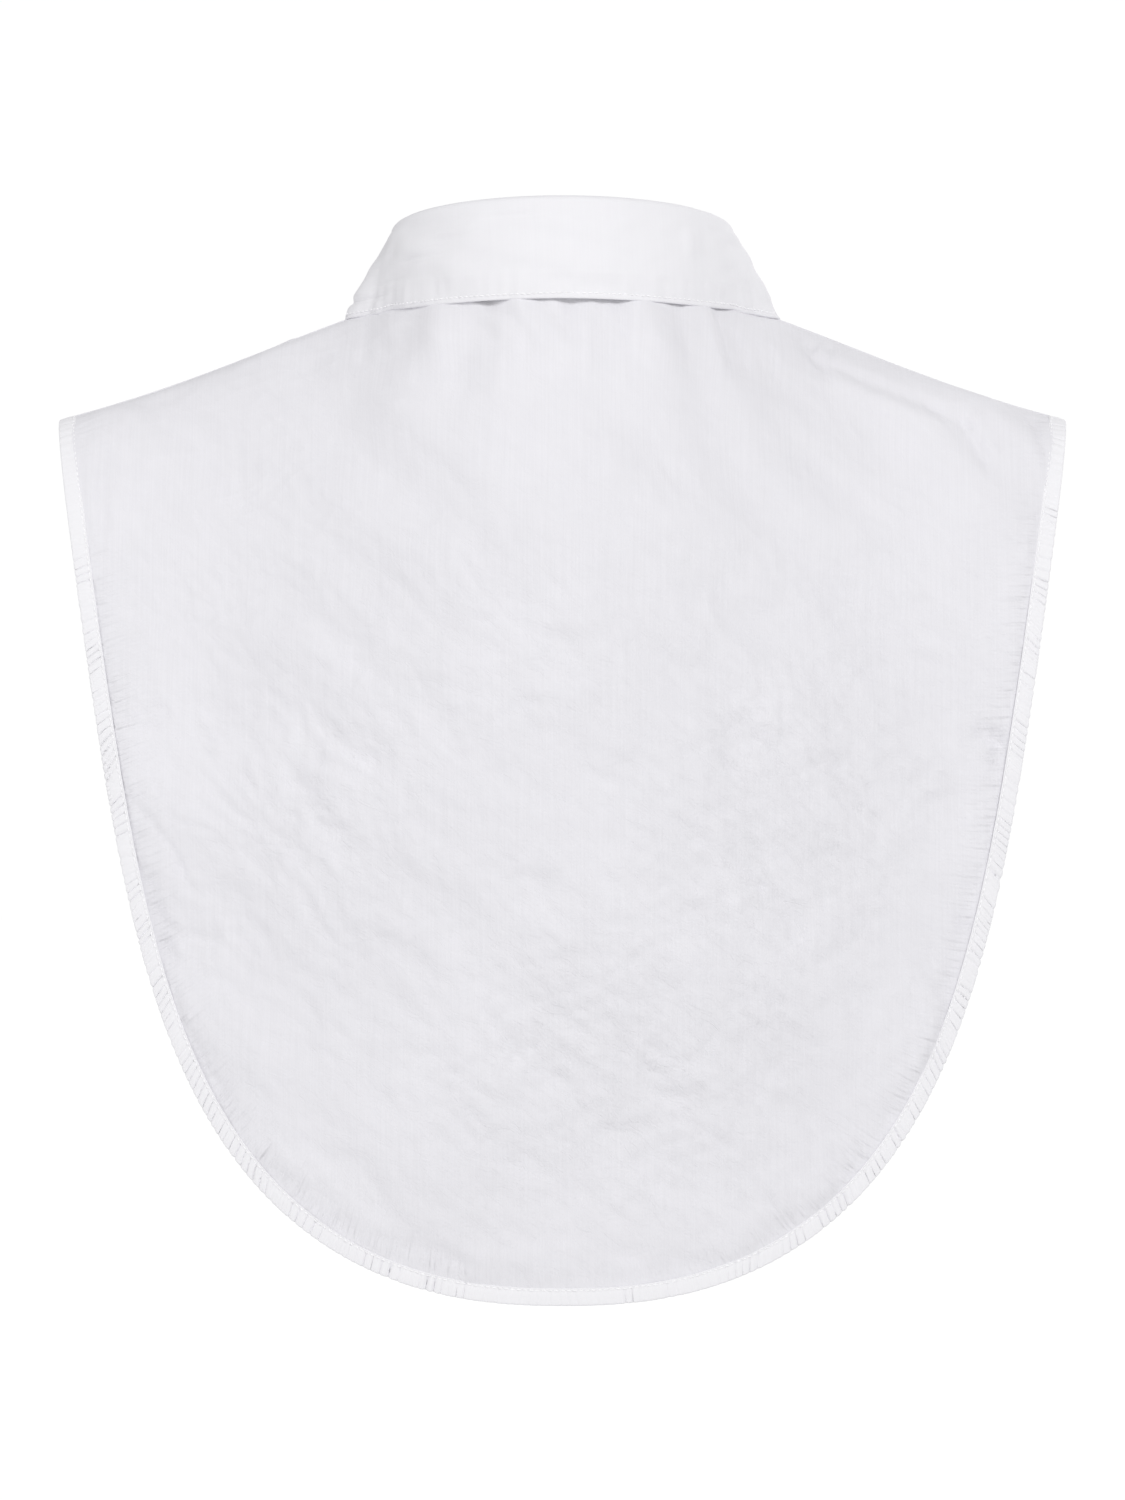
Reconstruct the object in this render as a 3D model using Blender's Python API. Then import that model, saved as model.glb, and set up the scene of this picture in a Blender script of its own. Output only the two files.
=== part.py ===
"""Detachable shirt collar in white cotton.

A back bib and two front bibs hang from a collar stand. A turned-down fall covers the stand,
and a placket with buttons closes the front. Metres, +Z up, the wearer faces -Y, and the origin
lies in the middle of the neck at the height of the back neck seam.
"""

import math

import bmesh
import bpy
import numpy as np
from mathutils import Vector

# Neck ring, where the stand meets the bibs
NECK_HALF_WIDTH = 0.0655
NECK_HALF_DEPTH = 0.058
NECK_SIDE_DROP = 0.0035
NECK_FRONT_DROP = 0.062

# Stand
STAND_BACK_HEIGHT = 0.0295
STAND_FRONT_HEIGHT = 0.0215
STAND_LEAN_IN = 0.0022
STAND_THICKNESS = 0.0016
STAND_LAP_ANGLE = 40.0

# Fall
FALL_THICKNESS = 0.0016
FALL_ROLL_RADIUS = 0.0022
FALL_FRONT_ANGLE = 173.0
FALL_POINT_ANGLE = 151.0
FALL_BACK_COVER = 0.007
FALL_SIDE_COVER = 0.0220
FALL_POINT_COVER = 0.037
FALL_BOW = 0.0012

# Bibs
SHOULDER_HALF_WIDTH = 0.2005
SHOULDER_DROP = 0.0505
SHOULDER_ROLL = 0.06
SHOULDER_SAG = 0.0037
SHOULDER_LIFT = 0.0029
SHOULDER_FOCUS = 8
CLOTH_THICKNESS = 0.0012
OUTLINE_FULLNESS = 5.3
OUTLINE_SQUARENESS = 2.37
BACK_LENGTH = 0.344
BACK_HEM_HALF_WIDTH = 0.1485
BACK_CENTRE_DEPTH = 0.086
BACK_SIDE_DEPTH = 0.046
BACK_BULGE = 0.024
FRONT_LENGTH = 0.334
FRONT_HEM_HALF_WIDTH = 0.144
FRONT_CENTRE_DEPTH = 0.106
FRONT_SIDE_DEPTH = 0.058
FRONT_BULGE = 0.034
FOLD_HEIGHT = 0.0016
FOLD_REACH = 0.028

# Hem, placket and buttons
HEM_WIDTH = 0.0068
HEM_THICKNESS = 0.0018
PLACKET_WIDTH = 0.030
PLACKET_THICKNESS = 0.0014
PLACKET_TURN_IN = 0.002
PLACKET_CLEARANCE = 0.0012
BUTTON_RADIUS = 0.0052
BUTTON_THICKNESS = 0.0022
BUTTON_RIM = 0.0011
BUTTON_DISH = 0.0006
BUTTON_HOLE_RADIUS = 0.0008
BUTTON_HOLE_OFFSET = 0.0014
BUTTON_FIRST_DROP = 0.050
BUTTON_SPACING = 0.072
PLACKET_BUTTONS = 4

# Gaps that sewn pieces keep
SEAM_GAP = 0.0004
FALL_CLEARANCE = 0.0007
FALL_OVER_FOLDS = 0.0012

# How finely the surfaces are divided
BACK_LINES = 50
FRONT_LINES = 26
BIB_ROWS = 12
BIB_ROW_CROWDING = 1.4
RING_LINES = 52
STAND_ROWS = 2
ROLL_STEPS = 5
FALL_ROWS = 6
PLACKET_COLUMNS = 4
PLACKET_ROWS = 20
BUTTON_SIDES = 16
OUTLINE_SAMPLES = 400
CLOTH_SMOOTH_ANGLE = 50.0
BUTTON_SMOOTH_ANGLE = 35.0

# Sections of the fall, from the centre back to the collar point. The turn is the share of the
# way round to the fall's front end, the edge turn the share of the way to the point, and the
# cover goes from the back's to the side's to the point's.
FALL_SECTIONS = (
    {"turn": 0.0, "edge_turn": 0.0, "cover": 0.0},
    {"turn": 0.40, "edge_turn": 0.46, "cover": 0.05},
    {"turn": 0.46, "edge_turn": 0.53, "cover": 0.34},
    {"turn": 0.52, "edge_turn": 0.60, "cover": 1.0},
    {"turn": 0.76, "edge_turn": 0.82, "cover": 1.5},
    {"turn": 1.0, "edge_turn": 1.0, "cover": 2.0},
)

# Dents of the fall. The turn is the share of the way from the centre back towards the wearer's
# left, down is the share of the way from the fold to the lower edge, wide and tall are half the
# dent's size in the same shares, and depth is how far the cloth goes in.
FALL_DENTS = ({"turn": 0.50, "down": 0.80, "wide": 0.05, "tall": 0.11, "depth": 0.0016},)

# Soft folds that spread over the back from under the fall. The place is the share of the way
# from the wearer's left side to the right one, the spread is half the fold's width in the same
# share, and height and reach are shares of the named sizes. A height below zero is a hollow.
FOLDS = (
    {"place": 0.19, "spread": 0.050, "height": -0.7, "reach": 1.3},
    {"place": 0.27, "spread": 0.045, "height": 0.8, "reach": 1.0},
    {"place": 0.35, "spread": 0.040, "height": -0.6, "reach": 0.8},
    {"place": 0.42, "spread": 0.040, "height": 0.7, "reach": 0.7},
    {"place": 0.48, "spread": 0.035, "height": -1.0, "reach": 0.5},
    {"place": 0.54, "spread": 0.035, "height": 0.8, "reach": 0.6},
    {"place": 0.60, "spread": 0.035, "height": -1.0, "reach": 0.8},
    {"place": 0.67, "spread": 0.045, "height": 0.9, "reach": 1.0},
    {"place": 0.76, "spread": 0.050, "height": -0.8, "reach": 1.4},
    {"place": 0.85, "spread": 0.045, "height": 0.7, "reach": 1.1},
)

BACK_BIB = {
    "facing": 1.0,
    "length": BACK_LENGTH,
    "hem_half_width": BACK_HEM_HALF_WIDTH,
    "centre_depth": BACK_CENTRE_DEPTH,
    "side_depth": BACK_SIDE_DEPTH,
    "bulge": BACK_BULGE,
    "folds": FOLDS,
}
FRONT_BIB = {
    "facing": -1.0,
    "length": FRONT_LENGTH,
    "hem_half_width": FRONT_HEM_HALF_WIDTH,
    "centre_depth": FRONT_CENTRE_DEPTH,
    "side_depth": FRONT_SIDE_DEPTH,
    "bulge": FRONT_BULGE,
    "folds": (),
}


def material(name, colour, roughness):
    made = bpy.data.materials.new(name)
    made.use_nodes = True
    shader = made.node_tree.nodes["Principled BSDF"]
    shader.inputs["Base Color"].default_value = (*colour, 1.0)
    shader.inputs["Roughness"].default_value = roughness
    return made


def smooth_step(value):
    value = min(max(value, 0.0), 1.0)
    return value * value * (3.0 - 2.0 * value)


def seam_height(angle):
    """Height of the neck seam at an angle in degrees, 0 at the back and 180 at the front."""
    turn = math.cos(math.radians(angle))
    steep = NECK_FRONT_DROP - 2.0 * NECK_SIDE_DROP
    return -NECK_SIDE_DROP * (1.0 - turn) - steep * max(0.0, -turn) ** 2


def ring_point(angle, outward=0.0, height=0.0):
    """A point on the neck ring, moved outward and up from the seam."""
    a = math.radians(angle)
    return np.array(
        [
            (NECK_HALF_WIDTH + outward) * math.sin(a),
            (NECK_HALF_DEPTH + outward) * math.cos(a),
            seam_height(angle) + height,
        ]
    )


def bib_depth(bib, x, drop):
    """How far a bib stands behind or before the shoulder line."""
    across = min((x / SHOULDER_HALF_WIDTH) ** 2, 1.0)
    roll = math.sqrt(1.0 - math.exp(-max(drop, 0.0) / SHOULDER_ROLL))
    middle = bib["centre_depth"] * roll**2
    depth = middle * (1.0 - across) + bib["side_depth"] * roll * across
    return bib["facing"] * (depth + SEAM_GAP)


def bib_outline(bib, inset):
    """The bib's edge from the left shoulder round the hem to the right one, moved inward."""
    half = []
    for step in range(OUTLINE_SAMPLES + 1):
        share = smooth_step(step / OUTLINE_SAMPLES)
        straight = SHOULDER_HALF_WIDTH + (bib["hem_half_width"] - SHOULDER_HALF_WIDTH) * share
        x = straight * (1.0 - share**OUTLINE_FULLNESS) ** (1.0 / OUTLINE_SQUARENESS)
        half.append((x, share * bib["length"]))
    flat = np.array(half + [(-x, drop) for x, drop in reversed(half[:-1])])
    along = np.gradient(flat, axis=0)
    along /= np.linalg.norm(along, axis=1)[:, None]
    inward = np.stack([-along[:, 1], along[:, 0]], axis=1)
    # The shoulder ends stay on the shoulder line, so that the hem is cut off level there.
    inward[0] = (-1.0, 0.0)
    inward[-1] = (1.0, 0.0)
    flat = flat + inward * inset
    slope = (SHOULDER_DROP - NECK_SIDE_DROP) / (SHOULDER_HALF_WIDTH - NECK_HALF_WIDTH)
    points = []
    for x, drop in flat:
        top = -SHOULDER_DROP + slope * (SHOULDER_HALF_WIDTH - abs(x)) * math.exp(-drop / HEM_WIDTH)
        points.append((x, bib_depth(bib, x, drop), top - max(drop, 0.0)))
    return np.array(points)


def lengths_along(points):
    steps = np.linalg.norm(np.diff(points, axis=0), axis=1)
    return np.concatenate([[0.0], np.cumsum(steps)])


def point_along(points, lengths, at):
    return np.array([np.interp(at, lengths, points[:, k]) for k in range(3)])


class Fan:
    """A bib as lines that spread from the neck seam to the bib's edge."""

    def __init__(self, bib, first_angle, last_angle, first_at, last_at, inset):
        self.bib = bib
        self.angles = (first_angle, last_angle)
        self.edge = bib_outline(bib, inset)
        self.lengths = lengths_along(self.edge)
        self.ends = (first_at(self), last_at(self))

    def line(self, share):
        """The neck angle, the neck point and the edge point of a line."""
        angle = self.angles[0] + (self.angles[1] - self.angles[0]) * share
        at = self.ends[0] + (self.ends[1] - self.ends[0]) * share
        neck = ring_point(angle, 0.0, -CLOTH_THICKNESS / 2.0 - SEAM_GAP)
        return angle, neck, point_along(self.edge, self.lengths, at)

    def share_of(self, angle):
        return (angle - self.angles[0]) / (self.angles[1] - self.angles[0])

    def point(self, share, reach):
        angle, neck, edge = self.line(share)
        turn = math.radians(angle)
        rise = 27.0 / 4.0 * reach * (1.0 - reach) ** 2
        found = neck + (edge - neck) * reach
        found[1] += self.bib["facing"] * self.bib["bulge"] * math.cos(turn) ** 2 * rise
        near_shoulder = abs(math.sin(turn)) ** SHOULDER_FOCUS
        found[2] += near_shoulder * SHOULDER_LIFT * rise
        found[2] -= near_shoulder * SHOULDER_SAG * math.sin(math.pi * reach)
        return found

    def normal(self, share, reach):
        """The outward direction of the cloth."""
        step = 0.004
        low, high = max(share - step, 0.0), min(share + step, 1.0)
        across = self.point(high, max(reach, step)) - self.point(low, max(reach, step))
        down = self.point(share, reach + step) - self.point(share, max(reach - step, 0.0))
        found = np.cross(across, down) * self.bib["facing"] * self.spin()
        return found / np.linalg.norm(found)

    def spin(self):
        """1 where the lines run clockwise round the neck seen from above, else -1."""
        clockwise = self.angles[1] > self.angles[0]
        return self.bib["facing"] * (1.0 if clockwise else -1.0)

    def fold(self, share, reach):
        """Height of the soft folds at a place of the cloth."""
        _, neck, edge = self.line(share)
        down = reach * np.linalg.norm(edge - neck) / FOLD_REACH
        height = 0.0
        for fold in self.bib["folds"]:
            far = down / fold["reach"]
            across = (share - fold["place"]) / fold["spread"]
            height += fold["height"] * math.exp(-(across**2)) * far * math.exp(1.0 - far)
        return FOLD_HEIGHT * height

    def grid(self, lines, rows):
        """Points of the cloth's middle surface, a column for each line."""
        columns = []
        for line in range(lines + 1):
            share = line / lines
            column = []
            for row in range(rows + 1):
                reach = (row / rows) ** BIB_ROW_CROWDING
                raised = self.normal(share, reach) * self.fold(share, reach)
                column.append(self.point(share, reach) + raised)
            columns.append(column)
        return columns


def at_start(_fan):
    return 0.0


def at_end(fan):
    return fan.lengths[-1]


def at_width(x):
    """Finds where the lower edge crosses a width near the middle of the front."""

    def find(fan):
        middle = len(fan.edge) // 2
        quarter = middle // 2
        near = slice(middle - quarter, middle + quarter)
        return float(np.interp(-x, -fan.edge[near, 0], fan.lengths[near]))

    return find


def neck_angle_at(x):
    """The angle near the front at which the neck ring has a width."""
    return 180.0 - math.degrees(math.asin(x / NECK_HALF_WIDTH))


def bib_fans(inset):
    """The back bib, the left front under the placket and the right front, as fans."""
    half_placket = PLACKET_WIDTH / 2.0
    parting = math.degrees(SEAM_GAP / NECK_HALF_DEPTH)
    left_edge = -half_placket + SEAM_GAP
    right_edge = -half_placket - SEAM_GAP
    return {
        "back": Fan(BACK_BIB, 90.0 - parting, parting - 90.0, at_start, at_end, inset),
        "left": Fan(
            FRONT_BIB, 90.0 + parting, neck_angle_at(left_edge), at_start, at_width(left_edge), inset
        ),
        "right": Fan(
            FRONT_BIB, 270.0 - parting, neck_angle_at(right_edge), at_end, at_width(right_edge), inset
        ),
    }


def sheet_object(name, columns, thickness, finish, side=0.0):
    """Cloth through a grid of points, thickened about it, or to its outer side with side 1."""
    mesh = bpy.data.meshes.new(name)
    made = bpy.data.objects.new(name, mesh)
    bpy.context.collection.objects.link(made)
    work = bmesh.new()
    verts = [[work.verts.new(Vector(point)) for point in column] for column in columns]
    for left, right in zip(verts[:-1], verts[1:]):
        for row in range(len(left) - 1):
            work.faces.new((left[row], left[row + 1], right[row + 1], right[row]))
    work.to_mesh(mesh)
    work.free()
    mesh.shade_smooth()
    mesh.set_sharp_from_angle(angle=math.radians(CLOTH_SMOOTH_ANGLE))
    mesh.materials.append(finish)
    wall = made.modifiers.new("wall", "SOLIDIFY")
    wall.thickness = thickness
    wall.offset = side
    wall.use_even_offset = True
    return made


def build_bibs(cloth):
    fans = bib_fans(HEM_WIDTH + SEAM_GAP)
    sheet_object("back_bib", fans["back"].grid(BACK_LINES, BIB_ROWS), CLOTH_THICKNESS, cloth)
    sheet_object("front_bib_left", fans["left"].grid(FRONT_LINES, BIB_ROWS), CLOTH_THICKNESS, cloth)
    sheet_object("front_bib_right", fans["right"].grid(FRONT_LINES, BIB_ROWS), CLOTH_THICKNESS, cloth)
    return fans


def build_hems(cloth):
    """A turned hem round each bib, from one shoulder to the other or to the placket."""
    outer = bib_fans(0.0)
    inner = bib_fans(HEM_WIDTH)
    names = {"back": "back_hem", "left": "front_hem_left", "right": "front_hem_right"}
    for key, name in names.items():
        lines = BACK_LINES if key == "back" else FRONT_LINES
        columns = []
        for line in range(lines + 1):
            share = line / lines
            columns.append([inner[key].line(share)[2], outer[key].line(share)[2]])
        sheet_object(name, columns, HEM_THICKNESS, cloth)


def lap_offset(angle):
    """The stand's ends lie one over the other: the right end goes out and the left end in."""
    past = (abs(angle) - (180.0 - STAND_LAP_ANGLE)) / STAND_LAP_ANGLE
    side = 1.0 if angle < 0.0 else -1.0
    return side * smooth_step(past) * (STAND_THICKNESS + SEAM_GAP) / 2.0


def stand_height(angle):
    forward = (1.0 - math.cos(math.radians(angle))) / 2.0
    return STAND_BACK_HEIGHT + (STAND_FRONT_HEIGHT - STAND_BACK_HEIGHT) * forward


def stand_point(angle, rise):
    """A point of the stand's middle surface, with rise 0 at the neck seam and 1 at the top."""
    outward = lap_offset(angle) - STAND_LEAN_IN * rise
    return ring_point(angle, outward, SEAM_GAP / 2.0 + stand_height(angle) * rise)


def build_stand(cloth):
    last = neck_angle_at(-PLACKET_WIDTH / 2.0)
    columns = []
    for line in range(RING_LINES + 1):
        angle = last - 2.0 * last * line / RING_LINES
        columns.append([stand_point(angle, 1.0 - row / STAND_ROWS) for row in range(STAND_ROWS + 1)])
    return sheet_object("collar_stand", columns, STAND_THICKNESS, cloth)


def fall_section(turn):
    """The edge turn and cover of the fall at a turn, read smoothly from its sections."""
    turns = [row["turn"] for row in FALL_SECTIONS]
    after = next((k for k, value in enumerate(turns) if value >= turn and k), len(turns) - 1)
    low, high = FALL_SECTIONS[after - 1], FALL_SECTIONS[after]
    part = smooth_step((turn - low["turn"]) / (high["turn"] - low["turn"]))
    even = (turn - low["turn"]) / (high["turn"] - low["turn"])
    edge_turn = low["edge_turn"] + (high["edge_turn"] - low["edge_turn"]) * even
    cover = low["cover"] + (high["cover"] - low["cover"]) * (0.5 * part + 0.5 * even)
    if cover <= 1.0:
        return edge_turn, FALL_BACK_COVER + (FALL_SIDE_COVER - FALL_BACK_COVER) * cover
    return edge_turn, FALL_SIDE_COVER + (FALL_POINT_COVER - FALL_SIDE_COVER) * (cover - 1.0)


def fall_edge(fans, side, turn):
    """Where the fall's lower edge lies over the bibs."""
    edge_turn, cover = fall_section(turn)
    angle = FALL_POINT_ANGLE * edge_turn
    if angle < 90.0:
        fan, angle = fans["back"], side * angle
    elif side > 0.0:
        fan = fans["left"]
    else:
        fan, angle = fans["right"], 360.0 - angle
    share = min(max(fan.share_of(angle), 0.0), 1.0)
    _, neck, edge = fan.line(share)
    reach = cover / float(np.linalg.norm(edge - neck))
    over_folds = FALL_OVER_FOLDS * max(0.0, math.cos(math.radians(FALL_POINT_ANGLE * edge_turn))) ** 2
    lift = CLOTH_THICKNESS / 2.0 + FALL_CLEARANCE + FALL_THICKNESS / 2.0 + over_folds
    return fan.point(share, reach) + fan.normal(share, reach) * lift


def fall_dent(turn, down):
    """How far the fall is dented inward at a place."""
    depth = 0.0
    for dent in FALL_DENTS:
        around = (turn - dent["turn"]) / dent["wide"]
        below = (down - dent["down"]) / dent["tall"]
        depth += dent["depth"] * math.exp(-(around**2) - below**2)
    return depth


def build_fall(cloth, fans):
    """The fall starts on the stand's top edge, rolls over outward and comes down over it."""
    columns = []
    for line in range(RING_LINES + 1):
        turn = 2.0 * line / RING_LINES - 1.0
        side = -1.0 if turn > 0.0 else 1.0
        turn = abs(turn)
        angle = side * FALL_FRONT_ANGLE * turn
        top = stand_point(angle, 1.0)
        top[2] += SEAM_GAP
        outward = ring_point(angle, 1.0) - ring_point(angle)
        outward /= np.linalg.norm(outward)
        upward = np.array([0.0, 0.0, 1.0])
        column = [top]
        centre = top + upward * FALL_ROLL_RADIUS / 2.0 + outward * FALL_ROLL_RADIUS
        for step in range(ROLL_STEPS + 1):
            bend = math.pi * step / ROLL_STEPS
            swing = upward * math.sin(bend) - outward * math.cos(bend)
            column.append(centre + swing * FALL_ROLL_RADIUS)
        start = column[-1]
        edge = fall_edge(fans, side, turn)
        for row in range(1, FALL_ROWS + 1):
            down = row / FALL_ROWS
            bow = FALL_BOW * math.sin(math.pi * down) - fall_dent(side * turn, down)
            column.append(start + (edge - start) * down + outward * bow)
        columns.append(column)
    return sheet_object("collar_fall", columns, FALL_THICKNESS, cloth)


def front_share(fan, x, z):
    """The line and reach of a fan at a place seen from the front."""
    low, high = 0.5, 1.2
    for _ in range(40):
        middle = (low + high) / 2.0
        _, neck, edge = fan.line(middle)
        at = neck[0] + (edge[0] - neck[0]) * (z - neck[2]) / (edge[2] - neck[2])
        if at > x:
            low = middle
        else:
            high = middle
    _, neck, edge = fan.line(low)
    return low, (z - neck[2]) / (edge[2] - neck[2])


def placket_depth(fans, x, z):
    """The depth of the placket's middle surface at a place seen from the front."""
    share, reach = front_share(fans["left"], x, z)
    stack = HEM_THICKNESS / 2.0 + PLACKET_CLEARANCE + PLACKET_THICKNESS / 2.0
    return fans["left"].point(share, reach)[1] - stack


def placket_top(x):
    """The placket's top follows the foot of the stand."""
    return seam_height(neck_angle_at(x)) - SEAM_GAP


def build_placket(cloth, fans):
    bottom = -SHOULDER_DROP - FRONT_LENGTH
    columns = []
    for column in range(PLACKET_COLUMNS + 1):
        x = PLACKET_WIDTH / 2.0 - (PLACKET_WIDTH + PLACKET_TURN_IN) * column / PLACKET_COLUMNS
        top = placket_top(x)
        points = []
        for row in range(PLACKET_ROWS + 1):
            z = top + (bottom - top) * row / PLACKET_ROWS
            points.append((x, placket_depth(fans, x, z), z))
        columns.append(points)
    return sheet_object("front_placket", columns, PLACKET_THICKNESS, cloth)


def button_mesh(pearl):
    """A four-hole shirt button: a turned disc with a rim and a dished face, drilled through."""
    half = BUTTON_THICKNESS / 2.0
    work = bmesh.new()
    profile = [
        (0.0, -half),
        (BUTTON_RADIUS - BUTTON_DISH, -half),
        (BUTTON_RADIUS, -half + BUTTON_DISH),
        (BUTTON_RADIUS, half - BUTTON_DISH),
        (BUTTON_RADIUS - BUTTON_RIM / 2.0, half),
        (BUTTON_RADIUS - BUTTON_RIM, half - BUTTON_DISH / 2.0),
        (BUTTON_RADIUS - BUTTON_RIM * 1.5, half - BUTTON_DISH),
        (0.0, half - BUTTON_DISH),
    ]
    verts = [work.verts.new((x, 0.0, z)) for x, z in profile]
    edges = [work.edges.new(pair) for pair in zip(verts[:-1], verts[1:])]
    bmesh.ops.spin(
        work,
        geom=verts + edges,
        axis=(0.0, 0.0, 1.0),
        cent=(0.0, 0.0, 0.0),
        angle=2.0 * math.pi,
        steps=BUTTON_SIDES,
        use_duplicate=False,
    )
    bmesh.ops.remove_doubles(work, verts=work.verts, dist=1e-6)
    bmesh.ops.recalc_face_normals(work, faces=work.faces)
    mesh = bpy.data.meshes.new("button")
    work.to_mesh(mesh)
    work.free()
    mesh.materials.append(pearl)
    mesh.shade_smooth()
    mesh.set_sharp_from_angle(angle=math.radians(BUTTON_SMOOTH_ANGLE))
    return mesh


def button_drill():
    """Four round cutters in one hidden object, longer than the button is thick."""
    work = bmesh.new()
    for side_x in (-1.0, 1.0):
        for side_y in (-1.0, 1.0):
            made = bmesh.ops.create_cone(
                work,
                cap_ends=True,
                segments=8,
                radius1=BUTTON_HOLE_RADIUS,
                radius2=BUTTON_HOLE_RADIUS,
                depth=2.0 * BUTTON_THICKNESS,
            )
            shift = Vector((side_x, side_y, 0.0)) * BUTTON_HOLE_OFFSET
            bmesh.ops.translate(work, verts=made["verts"], vec=shift)
    mesh = bpy.data.meshes.new("button_drill")
    work.to_mesh(mesh)
    work.free()
    drill = bpy.data.objects.new("button_drill", mesh)
    bpy.context.collection.objects.link(drill)
    drill.hide_render = True
    drill.display_type = "WIRE"
    return drill


def place_button(name, mesh, point, outward):
    """A button whose back stands a seam gap above the cloth."""
    button = bpy.data.objects.new(name, mesh.copy())
    bpy.context.collection.objects.link(button)
    button.location = Vector(point) + Vector(outward) * (SEAM_GAP + BUTTON_THICKNESS / 2.0)
    button.rotation_mode = "QUATERNION"
    button.rotation_quaternion = Vector(outward).to_track_quat("Z", "Y")
    drill = button_drill()
    drill.name = name + "_drill"
    drill.parent = button
    cut = button.modifiers.new("holes", "BOOLEAN")
    cut.operation = "DIFFERENCE"
    cut.solver = "EXACT"
    cut.object = drill
    return button


def build_buttons(pearl, fans):
    mesh = button_mesh(pearl)
    half = BUTTON_RADIUS
    for number in range(PLACKET_BUTTONS):
        z = placket_top(0.0) - BUTTON_FIRST_DROP - BUTTON_SPACING * number
        above, below = (placket_depth(fans, 0.0, z + side * half) for side in (1.0, -1.0))
        outward = np.array([0.0, -2.0 * half, above - below])
        outward /= np.linalg.norm(outward)
        face = np.array([0.0, placket_depth(fans, 0.0, z), z]) + outward * PLACKET_THICKNESS / 2.0
        place_button(f"placket_button_{number + 1}", mesh, face, outward)
    low, high = (stand_point(-180.0, rise) for rise in (0.0, 1.0))
    outward = np.array([0.0, low[2] - high[2], high[1] - low[1]])
    outward /= np.linalg.norm(outward)
    face = (low + high) / 2.0 + outward * STAND_THICKNESS / 2.0
    place_button("stand_button", mesh, face, outward)


def main():
    for old in list(bpy.data.objects):
        bpy.data.objects.remove(old)
    cloth = material("white_cotton", (0.84, 0.84, 0.87), 0.85)
    pearl = material("pearl_button", (0.88, 0.87, 0.85), 0.25)
    fans = build_bibs(cloth)
    build_hems(cloth)
    build_stand(cloth)
    build_fall(cloth, fans)
    build_placket(cloth, fans)
    build_buttons(pearl, fans)


main()
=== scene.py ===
import math

import bpy
import numpy as np
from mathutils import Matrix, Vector, noise


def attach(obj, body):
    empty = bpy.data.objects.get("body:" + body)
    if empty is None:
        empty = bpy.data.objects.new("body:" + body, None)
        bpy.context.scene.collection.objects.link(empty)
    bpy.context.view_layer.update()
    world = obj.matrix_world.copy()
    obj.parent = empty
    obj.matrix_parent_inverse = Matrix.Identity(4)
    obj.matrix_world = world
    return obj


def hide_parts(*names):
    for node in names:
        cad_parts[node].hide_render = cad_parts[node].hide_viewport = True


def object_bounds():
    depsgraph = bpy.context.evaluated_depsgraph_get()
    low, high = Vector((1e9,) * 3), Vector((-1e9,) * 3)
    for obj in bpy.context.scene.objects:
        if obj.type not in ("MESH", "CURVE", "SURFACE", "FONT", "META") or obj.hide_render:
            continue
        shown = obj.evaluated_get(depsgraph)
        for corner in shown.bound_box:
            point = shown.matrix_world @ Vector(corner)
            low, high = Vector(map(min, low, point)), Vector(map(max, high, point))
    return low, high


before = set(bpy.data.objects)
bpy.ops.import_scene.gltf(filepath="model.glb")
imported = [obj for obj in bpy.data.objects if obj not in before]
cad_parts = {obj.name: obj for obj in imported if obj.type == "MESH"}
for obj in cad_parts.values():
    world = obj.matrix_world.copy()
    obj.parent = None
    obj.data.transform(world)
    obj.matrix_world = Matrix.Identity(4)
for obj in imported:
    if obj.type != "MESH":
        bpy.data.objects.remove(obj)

print("frame loaded:", len(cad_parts), "nodes")
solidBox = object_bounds()
mm = 0.001

# the worn shape, in metres and degrees; it is the shape of the solids, read finely
neck = {"halfWidth": 0.0655, "halfDepth": 0.058, "sideDrop": 0.0035, "frontDrop": 0.062}
shoulder = {"halfWidth": 0.2005, "drop": 0.0505, "roll": 0.06, "sag": 0.0037, "lift": 0.0029}
outline = {"fullness": 5.3, "squareness": 2.37, "samples": 1600}
backShape = {
    "facing": 1.0, "hemHalfWidth": 0.1485, "length": 0.344, "centreDepth": 0.086, "sideDepth": 0.046,
    "bulge": 0.024,
}
frontShape = {
    "facing": -1.0, "hemHalfWidth": 0.144, "length": 0.334, "centreDepth": 0.106, "sideDepth": 0.058,
    "bulge": 0.034,
}


def table(columns, *rows):  # rows with named columns
    return [dict(zip(columns.split(), row)) for row in rows]


def column(rows, name):
    return np.array([row[name] for row in rows])


def smoothStep(value):
    value = np.clip(value, 0.0, 1.0)
    return value * value * (3.0 - 2.0 * value)


def mix(first, second, share):
    return first + (second - first) * share


def bell(distance, place, width):  # 1 at the place, fading to both sides
    return np.exp(-(((distance - place) / width) ** 2))


def stitchGroove(inset, cloth):  # the line that stitches press into a cloth
    return cloth["groove"] * bell(inset, cloth["stitchInset"], cloth["grooveWidth"])


def gridOf(first, second):
    return np.meshgrid(first, second, indexing="ij")


def unit(vectors):
    return vectors / np.maximum(np.linalg.norm(vectors, axis=-1, keepdims=True), 1e-12)


def seamHeight(angle):
    turn = np.cos(np.radians(angle))
    steep = neck["frontDrop"] - 2.0 * neck["sideDrop"]
    return -neck["sideDrop"] * (1.0 - turn) - steep * np.maximum(0.0, -turn) ** 2


def ringPoint(angle, outward=0.0, height=0.0):
    a = np.radians(angle)
    x, y = (neck["halfWidth"] + outward) * np.sin(a), (neck["halfDepth"] + outward) * np.cos(a)
    return np.stack([x, y, seamHeight(angle) + height], axis=-1)


def neckAngleAt(x):
    return 180.0 - np.degrees(np.arcsin(x / neck["halfWidth"]))


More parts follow.
